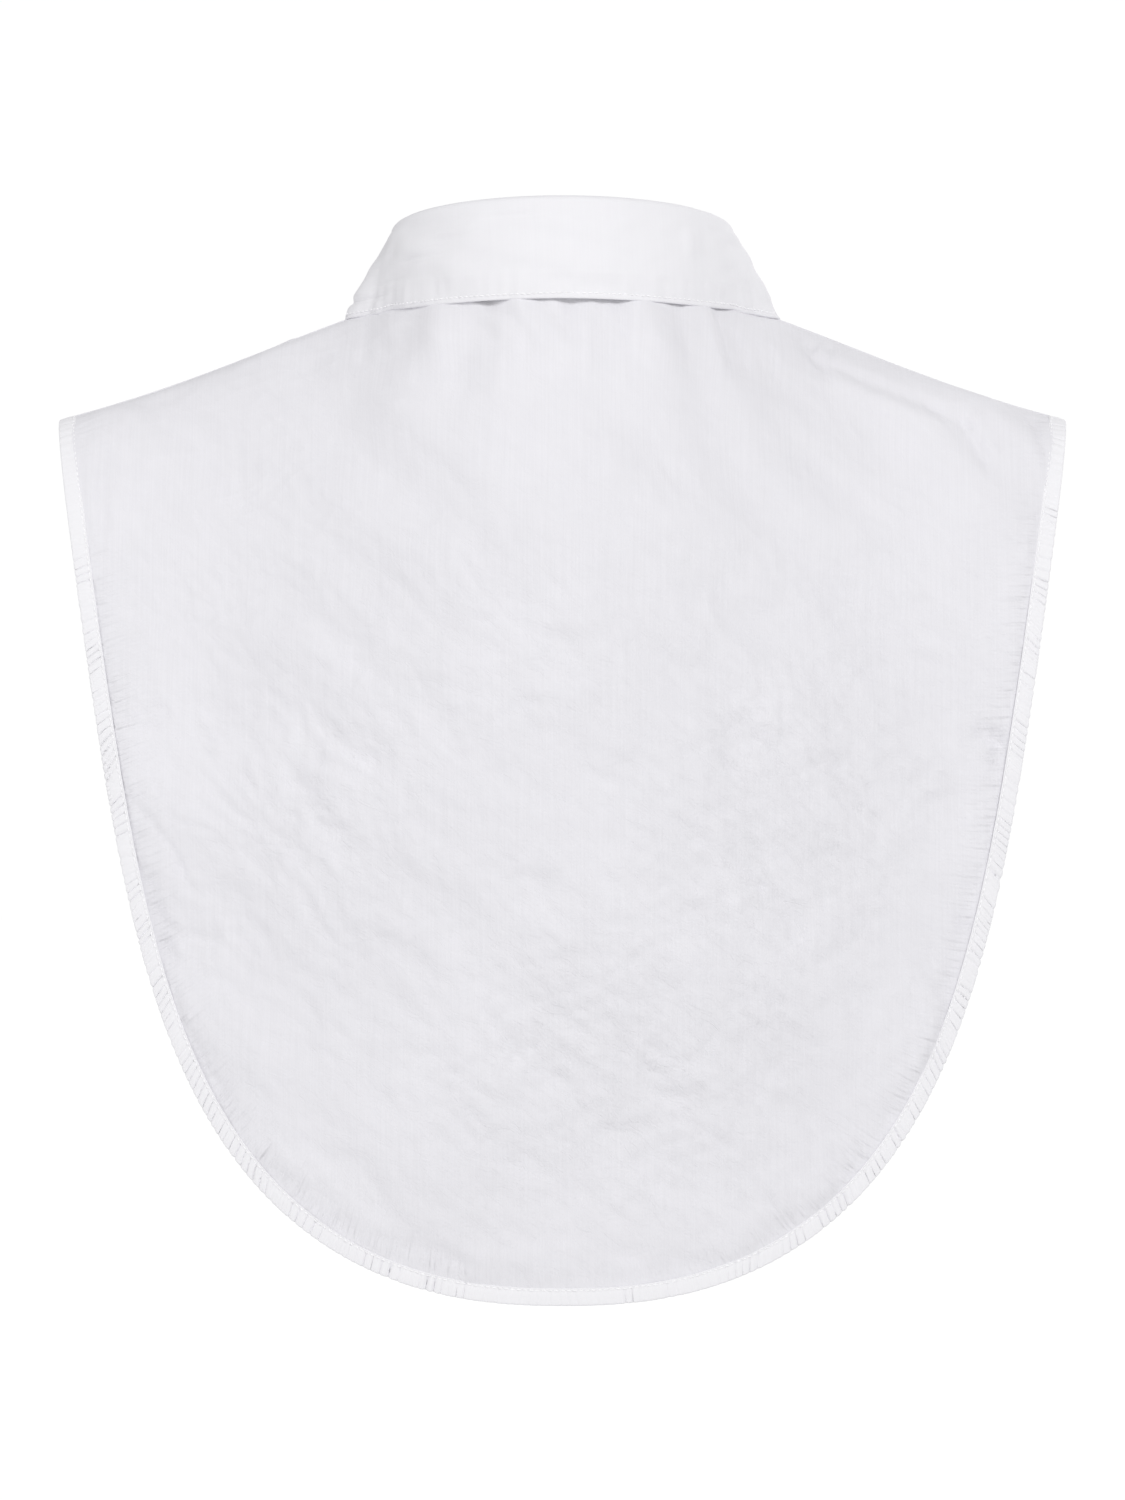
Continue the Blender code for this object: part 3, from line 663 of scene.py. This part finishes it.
def bibPiece(name, fan, cells, rows, seed, creases, spots):
    shares, reaches = gridOf(np.linspace(0.0, 1.0, cells + 1), np.linspace(0.0, 1.0, rows + 1))
    _, start, end, at = fanLines(fan, shares)
    grid = fanPoint(fan, shares, reaches)
    length = np.linalg.norm(end - start, axis=-1)
    down, left = reaches * length, (1.0 - reaches) * length
    edge, lengths = fan["edge"], fan["lengths"]
    ahead = unit(pointAlong(edge, lengths, at + mm) - pointAlong(edge, lengths, at - mm))
    slide = np.sum((end - start) * ahead, axis=-1) * (1.0 - reaches)
    foot, toHem = at - slide, np.sqrt(np.maximum(left**2 - slide**2, 0.0))  # straight across to the hem
    x, z = grid[..., 0], grid[..., 2]
    worn = bib["calm"] + bib["lowWear"] * smoothStep((-z - bib["lowFrom"]) / bib["lowOver"])
    for spot in spots:
        away = np.hypot(x - spot["x"] * mm, z - spot["z"] * mm)
        worn += spot["strength"] * bell(away, 0.0, spot["reach"] * mm)
    relief = crumpleHeight(x, z, seed) * worn * bib["crumple"] * smoothStep(down / bib["crumpleGrow"])
    for wave in bibWaves:
        waves = wrinkleNoise(x, z, wave["along"], wave["across"], wave["turn"], seed + wave["seed"])
        relief += waves * wave["height"] * smoothStep(down / wave["grow"])
    relief += creaseHeight(x, z, creases) * smoothStep(down / bib["creaseGrow"])
    if fan is backFan:
        relief += foldHeight(shares, down)
    around = math.pi * neck["halfWidth"] * (1.0 - reaches) + hemLength * reaches
    awayFromSeam = smoothStep(np.minimum(shares, 1.0 - shares) * around / bib["shoulderFade"])
    underHem = hem["width"] - hem["tuck"]

    def pastHem(start, over):  # both in widths of the strip under the hem
        return smoothStep((toHem - start * underHem) / (over * underHem))

    relief *= pastHem(0.6, 1.4)
    along = foot / lengths[-1]
    beside = np.exp(-np.maximum(toHem - underHem, 0.0) / pucker["intoBib"]) * puckerLevel(along)
    beside *= pastHem(0.8, 0.8)
    leaning = (foot + pucker["broadLean"] * toHem) / pucker["broadPeriod"]
    relief += pucker["broad"] * noiseAt(leaning, seed, toHem / pucker["broadLength"]) * beside
    uneven = np.clip(0.6 + 0.9 * noiseAt(along * bib["dipChanges"], 0.0, seed), 0.15, 1.2)
    relief -= bib["dip"] * uneven * bell(toHem, bib["dipPlace"], bib["dipWidth"])
    sunk = hem["sunk"] * (1.0 - pastHem(0.9, 1.5))
    relief = relief * awayFromSeam - sunk * (0.4 + 0.6 * awayFromSeam)
    if fan is not backFan:
        relief *= smoothStep((np.abs(x) - placket["halfWidth"]) / placket["flatBeside"])
    flat = np.stack([x, z], axis=-1)
    outward = np.array([0.0, fan["shape"]["facing"], 0.0])
    marks = {"wear": worn, "hemPlace": np.stack([foot, toHem, beside], axis=-1)}
    return shellObject(name, grid, flat, bib["thickness"] / 2.0, outward, bibCotton, relief, marks)[0]


# the turned hem: a band with a round outer edge over the edge of its bib
def hemPiece(name, shape, ends, seed):
    outer = bibFan(shape, (0.0, 1.0), ends, 0.0)
    inner = bibFan(shape, (0.0, 1.0), ends, hem["width"])
    pairs = int(hem["cells"] * abs(outer["ends"][1] - outer["ends"][0]) / hemLength / 2)
    share = np.linspace(0.0, 1.0, 2 * pairs + 1)
    _, _, edge, at = fanLines(outer, share)
    _, _, fold, _ = fanLines(inner, share)
    ahead = unit(np.gradient(edge, axis=0))
    normal = unit(np.cross(ahead, edge - fold))
    normal *= np.sign(np.sum(normal[:, 1]) * shape["facing"])
    width = edgeShares(hem["across"], 0.13)
    overlap = hem["width"] - hem["tuck"]
    alongs, widths = gridOf(at / outer["lengths"][-1], width)
    toFold, toEdge = widths * hem["width"], (1.0 - widths) * hem["width"]
    wave = puckerHeight(alongs, toFold - overlap, seed)
    grown = smoothStep(toFold / pucker["fromStitches"])
    wave = wave * mix(pucker["atStitches"], 1.0, grown)
    grid = mix(fold[:, None], edge[:, None], width[None, :, None])
    pull = wave / pucker["depth"] * smoothStep((widths - 0.6) / 0.4) * hem["edgeWave"]
    grid = grid + normal[:, None] * wave[..., None] + unit(edge - fold)[:, None] * pull[..., None]
    thicker = (hem["thickness"] - hem["innerThickness"]) * smoothStep(widths / 0.5)
    half = (hem["innerThickness"] + thicker) / 2.0
    thick = np.minimum(roundEdge(toFold, half), roundEdge(toEdge, half))
    thick -= stitchGroove(toFold, hem)
    flat = np.stack([alongs * hemLength, toFold], axis=-1)
    outward = np.array([0.0, shape["facing"], 0.0])
    piece, face, facing = shellObject(name, grid, flat, np.maximum(thick, 0.0), outward, hemCotton)
    line = int(np.argmin(np.abs(width * hem["width"] - hem["stitchInset"])))
    return piece, (face[:, line], facing[:, line])


print("shaping the bibs and their hems")
backBib = bibPiece("backBibCloth", backFan, bib["backCells"], bib["rows"], 3.0, backCreases, crumpleSpots)
leftBib = bibPiece("frontBibLeftCloth", leftFan, bib["frontCells"], bib["frontRows"], 13.0, (), ())
rightBib = bibPiece("frontBibRightCloth", rightFan, bib["frontCells"], bib["frontRows"], 23.0, (), ())
backHem, backSeam = hemPiece("backHemCloth", backShape, ("left", "right"), 3.0)
leftHem, leftSeam = hemPiece("frontHemLeftCloth", frontShape, ("left", leftEdge), 13.0)
rightHem, rightSeam = hemPiece("frontHemRightCloth", frontShape, ("right", rightEdge), 23.0)


# the stand: a band whose ends lie one over the other
stand = {
    "backHeight": 29.5 * mm, "frontHeight": 21.5 * mm, "leanIn": 2.2 * mm, "thickness": 1.5 * mm,
    "lapAngle": 40.0, "lap": 1.0 * mm, "cells": 320, "rows": 30, "ripple": 0.06 * mm,
    "stitchInset": 2.0 * mm, "groove": 0.08 * mm, "grooveWidth": 0.45 * mm,
}


def standPoint(angle, rise):
    past = (np.abs(angle) - (180.0 - stand["lapAngle"])) / stand["lapAngle"]
    side = np.where(angle < 0.0, 1.0, -1.0)
    outward = side * smoothStep(past) * stand["lap"] - stand["leanIn"] * rise
    forward = (1.0 - np.cos(np.radians(angle))) / 2.0
    height = mix(stand["backHeight"], stand["frontHeight"], forward)
    return ringPoint(angle, outward, seams["gap"] / 2.0 + height * rise - seams["sunk"] * (1.0 - rise))


def standPiece():
    last = float(neckAngleAt(-placket["halfWidth"]))
    turns = last - 2.0 * last * edgeShares(stand["cells"], 0.004)
    angles, rises = gridOf(turns, edgeShares(stand["rows"], 0.03))
    grid = standPoint(angles, rises)
    toFoot, toTop = rises * stand["backHeight"], (1.0 - rises) * stand["backHeight"]
    toEnd = (last - np.abs(angles)) * math.radians(neck["halfWidth"])
    flat = np.stack([np.radians(angles) * neck["halfWidth"], toFoot], axis=-1)
    relief = stand["ripple"] * noiseAt(flat[..., 0] / 0.012, toFoot / 0.02, 4.0)
    inset = np.minimum(np.minimum(toFoot, toTop), toEnd)
    relief -= stitchGroove(inset, stand)
    outward = unit(grid * np.array([1.0, 1.0, 0.0]))
    thick = roundEdge(inset, stand["thickness"] / 2.0)
    piece, face, facing = shellObject("collarStandCloth", grid, flat, thick, outward, fallCotton, relief)
    return piece, [linesWhere(stand["stitchInset"], stand["stitchInset"], face, facing, toFoot, toEnd)]


# where a distance grows through an inset along each line of a surface, with the facing there, for the
# lines that lie more than a least way from their other edge
def linesWhere(inset, least, face, facing, distance, other):
    points, turns = [], []
    for line in range(len(face)):
        row = int(np.argmax(distance[line] > inset))
        if row == 0 or other[line, row] <= least:
            continue
        low, high = distance[line, row - 1], distance[line, row]
        part = (inset - low) / (high - low)
        points.append(mix(face[line, row - 1], face[line, row], part))
        turns.append(facing[line, row])
    return np.array(points), np.array(turns)


print("shaping the stand, the fall and the placket")
collarStand, standSeams = standPiece()

# the fall: rolled over the stand's top edge, turned down, with a stitched edge and two points
fall = {
    "thickness": 1.3 * mm, "roll": 2.2 * mm, "frontAngle": 173.0, "pointAngle": 151.0, "bow": 1.2 * mm,
    "backCover": 7.0 * mm, "sideCover": 22.0 * mm, "pointCover": 37.0 * mm, "lift": 0.62 * mm,
    "overFolds": 1.3 * mm, "cells": 380, "rollRows": 10, "rows": 48, "allowance": 10.0 * mm,
    "stitchInset": 2.1 * mm, "groove": 0.14 * mm, "grooveWidth": 0.45 * mm,
    "allowanceRise": 0.12 * mm, "allowanceWidth": 0.9 * mm,
    "ripple": 0.50 * mm, "rippleAlong": 0.0042, "rippleAcross": 0.03,
}
fallWaves = table(
    "along across slant seed height",
    (0.034, 0.012, 0.05, 6.0, 1.1 * mm),
    (0.013, 0.007, -0.03, 8.0, 0.44 * mm),
)
fallSections = table(
    "turn edgeTurn cover",
    (0.0, 0.0, 0.0),
    (0.40, 0.46, 0.05),
    (0.46, 0.53, 0.34),
    (0.52, 0.60, 1.0),
    (0.76, 0.82, 1.5),
    (1.0, 1.0, 2.0),
)
# dents and creases of the fall: turn is the share of the way to the wearer's left end, down the share
# of the way from the fold to the edge, wide and tall are half sizes in the same shares, rise is in mm
fallDents = table(
    "turn down wide tall rise",
    (0.51, 0.80, 0.050, 0.055, -1.7),
    (0.44, 0.80, 0.060, 0.018, -0.5),
    (0.42, 0.66, 0.060, 0.018, -0.35),
    (0.24, 0.30, 0.060, 0.050, -0.9),
    (0.31, 0.46, 0.070, 0.040, -0.8),
    (0.10, 0.12, 0.060, 0.040, -0.6),
    (-0.26, 0.36, 0.016, 0.20, 0.9),
    (-0.31, 0.30, 0.022, 0.22, -0.8),
)


def fallEdge(turn):
    away = np.abs(turn)
    turns, covers = column(fallSections, "turn"), column(fallSections, "cover")
    after = np.clip(np.searchsorted(turns, away), 1, len(turns) - 1)
    even = (away - turns[after - 1]) / (turns[after] - turns[after - 1])
    cover = mix(covers[after - 1], covers[after], (smoothStep(even) + even) / 2.0)
    short = mix(fall["backCover"], fall["sideCover"], cover)
    long = mix(fall["sideCover"], fall["pointCover"], cover - 1.0)
    cover = np.where(cover <= 1.0, short, long)
    angle = fall["pointAngle"] * np.interp(away, turns, column(fallSections, "edgeTurn"))
    lift = fall["lift"] + fall["overFolds"] * np.maximum(0.0, np.cos(np.radians(angle))) ** 4
    found = np.zeros((len(turn), 3))
    for fan, signed, chosen in (
        (backFan, angle * -np.sign(turn), angle < 90.0),
        (leftFan, angle, (angle >= 90.0) & (turn < 0.0)),
        (rightFan, 360.0 - angle, (angle >= 90.0) & (turn > 0.0)),
    ):
        first, last = fan["angles"]
        share = np.clip((signed - first) / (last - first), 0.0, 1.0)[chosen]
        _, start, end, _ = fanLines(fan, share)
        reach = cover[chosen] / np.linalg.norm(end - start, axis=-1)
        found[chosen] = fanPoint(fan, share, reach) + fanNormal(fan, share, reach) * lift[chosen, None]
    return found


def fallPiece():
    turn = 2.0 * edgeShares(fall["cells"], 0.0028) - 1.0
    angle = -np.sign(turn) * fall["frontAngle"] * np.abs(turn)
    top = standPoint(angle, np.ones_like(angle)) - np.array([0.0, 0.0, seams["sunk"]])
    outward = unit(ringPoint(angle, 1.0) - ringPoint(angle))
    upward = np.array([0.0, 0.0, 1.0])
    centre = top + upward * (fall["roll"] / 2.0 + 2.0 * seams["sunk"]) + outward * fall["roll"]
    columns = [top]
    for bend in np.linspace(0.0, math.pi, fall["rollRows"] + 1):
        columns.append(centre + (upward * math.sin(bend) - outward * math.cos(bend)) * fall["roll"])
    start, edge = columns[-1], fallEdge(turn)
    inside = np.linspace(0.0, 1.0, fall["rows"] - 4)[1:-1]
    rows = np.concatenate([inside[inside < 0.975], [0.982, 0.989, 0.994, 0.9975, 1.0]])
    if (len(rows) + fall["rollRows"] + 1) % 2:
        rows = rows[1:]
    for down in rows:
        columns.append(mix(start, edge, down) + outward * fall["bow"] * math.sin(math.pi * down))
    grid = np.stack(columns, axis=1)
    drop, around = lengthsAlong(grid, 1), lengthsAlong(grid)
    toEdge = drop[:, -1:] - drop
    toEnd = np.minimum(around, around[-1:] - around)
    spread = around - around[-1:] / 2.0
    down = np.concatenate([np.zeros(fall["rollRows"] + 2), rows])[None, :] + np.zeros_like(drop)
    relief = np.zeros_like(drop)
    for dent in fallDents:
        a = (turn[:, None] + dent["turn"]) / dent["wide"]  # turns below zero are the wearer's left
        b = (down - dent["down"]) / dent["tall"]
        relief += dent["rise"] * mm * np.exp(-(a**2) - b**2)
    relief += fall["allowanceRise"] * bell(toEdge, fall["allowance"], fall["allowanceWidth"])
    waves = noiseAt(spread / fall["rippleAlong"], toEdge / fall["rippleAcross"], 2.0)
    inAllowance = smoothStep((fall["allowance"] * 1.4 - toEdge) / (6.0 * mm))
    relief += fall["ripple"] * waves * (inAllowance * smoothStep(toEdge / mm + 0.3))
    waves = np.zeros_like(drop)
    for wave in fallWaves:
        leaning = toEdge / wave["across"] + spread / wave["slant"]
        waves += wave["height"] * noiseAt(spread / wave["along"], leaning, wave["seed"])
    relief += waves * (smoothStep(toEdge / (3.0 * mm)) * smoothStep(down / 0.1))
    inset = np.minimum(toEdge, toEnd)
    relief -= stitchGroove(inset, fall)
    thick = roundEdge(np.minimum(inset, drop + 0.5 * mm), fall["thickness"] / 2.0)
    flat = np.stack([spread, -drop], axis=-1)
    facing = outward[:, None] * np.where(down > 0.05, 1.0, 0.0)[..., None]
    piece, face, turned = shellObject("collarFallCloth", grid, flat, thick, facing, fallCotton, relief)
    first, half, seam = fall["rollRows"] // 2 + 1, len(turn) // 2, fall["stitchInset"]
    hanging = [a[:, :first - 1:-1] for a in (face, turned, toEdge, toEnd)]
    tracks = [linesWhere(seam, seam, *hanging)]
    for ends in (np.s_[:half, first:], np.s_[:half:-1, first:]):
        across = [np.swapaxes(a[ends], 0, 1) for a in (face, turned, toEnd, toEdge)]
        tracks.append(linesWhere(seam, seam, *across))
    return piece, tracks


collarFall, fallSeams = fallPiece()


# the placket lies over the left front, from the foot of the stand to the hem
def frontAt(fan, x, z):
    def cross(share):  # how far down a line of the fan the height z is, and its x there
        _, start, end, _ = fanLines(fan, share)
        reach = (z - start[..., 2]) / (end[..., 2] - start[..., 2])
        return reach, mix(start[..., 0], end[..., 0], reach)

    low, high = np.full_like(x, 0.5), np.full_like(x, 1.2)
    for _ in range(40):
        middle = (low + high) / 2.0
        _, at = cross(middle)
        low, high = np.where(at > x, middle, low), np.where(at > x, high, middle)
    return low, cross(low)[0]


def placketPiece():
    width = 2.0 * placket["halfWidth"] + placket["turnIn"]
    across, downs = gridOf(edgeShares(placket["across"], 0.04), edgeShares(placket["down"], 0.004))
    xs = placket["halfWidth"] - width * across
    top = seamHeight(neckAngleAt(xs)) + seams["sunk"]
    bottom = -shoulder["drop"] - frontShape["length"]
    z = mix(top, bottom, downs)
    share, reach = frontAt(leftFan, xs, z)
    depth = fanPoint(leftFan, share, np.maximum(reach, 0.0))[..., 1] - placket["lift"]
    grid = np.stack([xs, depth, z], axis=-1)
    toLeft, toRight = across * width, (1.0 - across) * width
    toSide = np.minimum(toLeft, toRight)
    toEnd = np.minimum(downs, 1.0 - downs) * (top - bottom)
    relief = placket["ripple"] * noiseAt(xs / 0.014, z / 0.0065, 11.0)
    relief -= stitchGroove(toSide, placket)
    thick = roundEdge(np.minimum(toSide, toEnd), placket["thickness"] / 2.0)
    flat = np.stack([xs, z], axis=-1)
    facing = np.array([0.0, -1.0, 0.0])
    piece, face, turned = shellObject("frontPlacketCloth", grid, flat, thick, facing, fallCotton, relief)
    tracks = []
    half = placket["across"] // 2
    for side, toSeam in ((np.s_[:half + 1], toLeft), (np.s_[:half - 1:-1], toRight)):
        rows = [np.swapaxes(a[side], 0, 1) for a in (face, turned, toSeam, toEnd)]
        tracks.append(linesWhere(placket["stitchInset"], 1.0 * mm, *rows))
    return piece, tracks


frontPlacket, placketSeams = placketPiece()


# felled seams along the shoulders, where the back bib meets the front ones
shoulderSeam = {
    "back": 1.0 * mm, "front": 4.5 * mm, "thickness": 1.0 * mm, "lift": 0.35 * mm, "cells": 220,
    "across": 14, "stitchRow": 10,
}


def shoulderSeamPiece(name, fan, backward):
    lines = np.linspace(0.0, 0.998, shoulderSeam["cells"] + 1)
    reaches, across = gridOf(lines, edgeShares(shoulderSeam["across"], 0.12))
    zero = np.zeros_like(reaches)
    ridge = fanPoint(fan, zero, reaches)
    ahead = unit(fanPoint(fan, zero + 0.02, reaches) - ridge + 1e-9)
    behind = unit(fanPoint(backFan, zero + backward, reaches) - ridge + 1e-9)
    for way in (ahead, behind):
        way[:8] = way[8]  # the lines of a fan meet at the neck, so the first ones are not sure
    width = shoulderSeam["back"] + shoulderSeam["front"]
    place = across * width - shoulderSeam["back"]
    grid = ridge + np.where(place[..., None] > 0.0, ahead * place[..., None], -behind * place[..., None])
    along = np.gradient(ridge, axis=0)
    normal = unit(np.cross(unit(along), ahead))
    normal *= np.sign(normal[..., 2:])
    grid = grid + normal * shoulderSeam["lift"]
    inset = np.minimum(across, 1.0 - across) * width
    thick = roundEdge(inset, shoulderSeam["thickness"] / 2.0)
    flat = np.stack([lengthsAlong(ridge[:, 0])[:, None] + zero, place], axis=-1)
    piece, face, turned = shellObject(name, grid, flat, thick, np.array([0.0, 0.0, 1.0]), bibCotton)
    return piece, (face[:, shoulderSeam["stitchRow"]], turned[:, shoulderSeam["stitchRow"]])


leftShoulder, leftShoulderSeam = shoulderSeamPiece("leftShoulderSeam", leftFan, 0.01)
rightShoulder, rightShoulderSeam = shoulderSeamPiece("rightShoulderSeam", rightFan, 0.99)


# one stitch is modelled, then laid end to end along every seam
stitch = {
    "length": 2.4 * mm, "radius": 0.30 * mm, "gap": 0.30, "rise": 0.10 * mm, "segments": 6, "rings": 5,
}


def stitchShape():
    bpy.ops.object.select_all(action="DESELECT")
    bpy.ops.mesh.primitive_uv_sphere_add(
        segments=stitch["segments"], ring_count=stitch["rings"], rotation=(0.0, math.radians(90.0), 0.0)
    )
    ball = bpy.context.object
    bpy.ops.object.transform_apply(location=False, rotation=True, scale=True)
    points = np.array([v.co for v in ball.data.vertices])
    faces = [list(face.vertices) for face in ball.data.polygons]
    bpy.data.objects.remove(ball)
    points[:, 0] = np.sign(points[:, 0]) * np.abs(points[:, 0]) ** 0.6  # a blunter end than a ball's
    return points, faces


stitchPoints, stitchFaces = stitchShape()


# tracks are points with the way out of the cloth at each
def stitchMesh(name, tracks, length=stitch["length"], radius=stitch["radius"], gap=stitch["gap"]):
    points, faces, places = [], [], []
    for track, facing in tracks:
        lengths = lengthsAlong(track)
        ends = np.linspace(0.0, lengths[-1], max(round(lengths[-1] / length), 1) + 1)
        for first, last in zip(ends[:-1], ends[1:]):
            space = (last - first) * gap / 2.0
            a, b = pointAlong(track, lengths, first + space), pointAlong(track, lengths, last - space)
            ahead = unit(b - a)
            side = unit(np.cross(pointAlong(facing, lengths, (first + last) / 2.0), ahead))
            up = np.cross(ahead, side)
            local = stitchPoints * np.array([np.linalg.norm(b - a) / 2.0, radius, radius])
            base = len(points) * len(stitchPoints)
            points.append((a + b) / 2.0 + up * stitch["rise"] + local @ np.array([ahead, side, up]))
            places.append(local[:, :2] + first)
            faces.extend([[base + corner for corner in face] for face in stitchFaces])
    return meshObject(name, np.concatenate(points), faces, np.concatenate(places), threadCotton)


print("sewing")
backHemStitches = stitchMesh("backHemStitches", [backSeam])
frontHemStitches = stitchMesh("frontHemStitches", [leftSeam, rightSeam])
fallStitches = stitchMesh("fallStitches", fallSeams)
standStitches = stitchMesh("standStitches", standSeams)
placketStitches = stitchMesh("placketStitches", placketSeams)
shoulderStitches = stitchMesh("shoulderStitches", [leftShoulderSeam, rightShoulderSeam])

# the buttons keep the solids, with thread through their holes and a sewn buttonhole under each
button = {
    "holeOffset": 1.4 * mm, "thread": 0.42 * mm, "above": 0.55 * mm, "pearl": (0.80, 0.79, 0.77),
    "holeLength": 14.0 * mm, "satinWidth": 1.3 * mm, "satinPitch": 0.42 * mm, "satinThread": 0.24 * mm,
    "holeGap": 0.5 * mm, "under": 1.4 * mm,
}


def pearlMaterial():
    material, tree, shader = newMaterial("pearlButton", {
        "Roughness": 0.22, "Coat Weight": 0.6, "Coat Roughness": 0.08,
    })
    place = addNode(tree, "TexCoord")
    cloud = noiseNode(tree, place.outputs["Object"], 420.0, Detail=2.0, Distortion=2.5)
    dark = [0.88 * value for value in button["pearl"]]
    tone = rampNode(tree, cloud, (0.0, dark), (1.0, button["pearl"]))
    tree.links.new(tone, shader.inputs["Base Color"])
    return material


def buttonFrame(node):
    points = np.array([v.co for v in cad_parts[node].data.vertices])
    middle = (points.min(axis=0) + points.max(axis=0)) / 2.0
    _, _, axes = np.linalg.svd(points - middle, full_matrices=False)
    outward = axes[2] * -np.sign(axes[2][1])
    side = unit(np.cross(np.array([0.0, 0.0, 1.0]), outward))
    return middle, outward, side, np.cross(outward, side)


def straight(middle, way, start, end, outward):  # one stitch's track
    return np.array([middle + way * start, middle + way * end]), np.array([outward, outward])


def satinTracks(middle, outward, along, across):
    reach, near, far = button["holeLength"] / 2.0, button["holeGap"] / 2.0, button["satinWidth"]
    middle = middle - outward * button["under"]
    tracks = []
    for place in np.arange(-reach, reach, button["satinPitch"]):
        for side in (-across, across):
            tracks.append(straight(middle + along * place, side, near, far, outward))
    for end in (-1.0, 1.0):
        for place in np.arange(0.0, 4.0) * button["satinPitch"] + reach:
            tracks.append(straight(middle + along * end * place, across, -far, far, outward))
    return tracks


pearl = pearlMaterial()
threadTracks, satin = [], []
for node in sorted(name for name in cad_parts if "button" in name):
    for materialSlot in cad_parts[node].material_slots:
        materialSlot.material = pearl
    middle, outward, side, upward = buttonFrame(node)
    for edge in (-1.0, 1.0):
        spot = middle + side * button["holeOffset"] * edge + outward * button["above"]
        reach = button["holeOffset"] * 1.2
        threadTracks.append(straight(spot, upward, -reach, reach, outward))
    along, across = (side, upward) if node == "stand_button" else (upward, side)
    satin += satinTracks(middle, outward, along, across)
buttonThreads = stitchMesh("buttonThreads", threadTracks, length=9.0 * mm, radius=button["thread"], gap=0.0)
buttonholes = stitchMesh("buttonholes", satin, length=9.0 * mm, radius=button["satinThread"], gap=0.0)

print("setting the stage")
floorSize = {"across": 24.0, "height": -0.62}
bpy.ops.object.select_all(action="DESELECT")
bpy.ops.mesh.primitive_plane_add(size=floorSize["across"], location=(0.0, 0.0, floorSize["height"]))
floor = bpy.context.object
floor.name = "paleFloor"


# seen straight on, the ground is as white as the photograph's; as a light it is softer
def addSeenStrength(tree, strength, light, seen):
    path = addNode(tree, "LightPath")
    level = addNode(tree, "MapRange", values={"To Min": light, "To Max": seen})
    tree.links.new(path.outputs["Is Camera Ray"], level.inputs["Value"])
    tree.links.new(level.outputs[0], strength)


room = {"light": 0.50, "floorLight": 0.785, "seen": 1.01}
floorPaint, floorTree, paper = newMaterial("palePaper", {
    "Base Color": (0.05, 0.05, 0.05, 1.0), "Specular IOR Level": 0.0, "Emission Color": (1.0, 1.0, 1.0, 1.0),
})
addSeenStrength(floorTree, paper.inputs["Emission Strength"], room["floorLight"], room["seen"])
floor.data.materials.append(floorPaint)

world = bpy.data.worlds.new("whiteRoom")
bpy.context.scene.world = world
world.use_nodes = True
background = world.node_tree.nodes["Background"]
background.inputs["Color"].default_value = (1.0, 1.0, 1.0, 1.0)
addSeenStrength(world.node_tree, background.inputs["Strength"], room["light"], room["seen"])

lamps = table(
    "name place size power",
    ("keyPanel", (-1.05, 2.6, 1.75), 0.9, 45.5),
    ("fillPanel", (2.0, 1.3, 0.2), 1.6, 10.0),
    ("frontPanel", (-1.2, -1.9, 0.9), 1.2, 16.0),
)
middle = (solidBox[0] + solidBox[1]) / 2.0
for lamp in lamps:
    light = bpy.data.lights.new(lamp["name"], "AREA")
    light.size = lamp["size"]
    light.energy = lamp["power"]
    holder = addObject(lamp["name"], light)
    holder.location = lamp["place"]
    holder.rotation_euler = (middle - holder.location).to_track_quat("-Z", "Y").to_euler()

# the photograph looks level at the back from about 2.2 m
view = {"distance": 2.2, "sharpPlane": 0.06, "height": -0.1813, "pixel": 0.388 * mm, "longSide": 1500}
eye = bpy.data.cameras.new("photoCamera")
eye.sensor_width = 36.0
eye.lens = eye.sensor_width * (view["distance"] - view["sharpPlane"]) / (view["longSide"] * view["pixel"])
camera = addObject("photoCamera", eye)
camera.location = (0.0, view["distance"], view["height"])
camera.rotation_euler = (math.radians(90.0), 0.0, math.radians(180.0))
bpy.context.scene.camera = camera
bpy.context.scene.view_settings.view_transform = "Standard"

replaced = {
    backBib: "back_bib", backHem: "back_hem", leftBib: "front_bib_left", leftHem: "front_hem_left",
    rightBib: "front_bib_right", rightHem: "front_hem_right", collarStand: "collar_stand",
    collarFall: "collar_fall", frontPlacket: "front_placket",
}
for piece, node in replaced.items():
    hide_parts(node)
trims = [leftShoulder, rightShoulder, backHemStitches, frontHemStitches, fallStitches, standStitches,
         placketStitches, shoulderStitches, buttonThreads, buttonholes]
for piece in [*replaced, *trims]:
    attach(piece, "root")
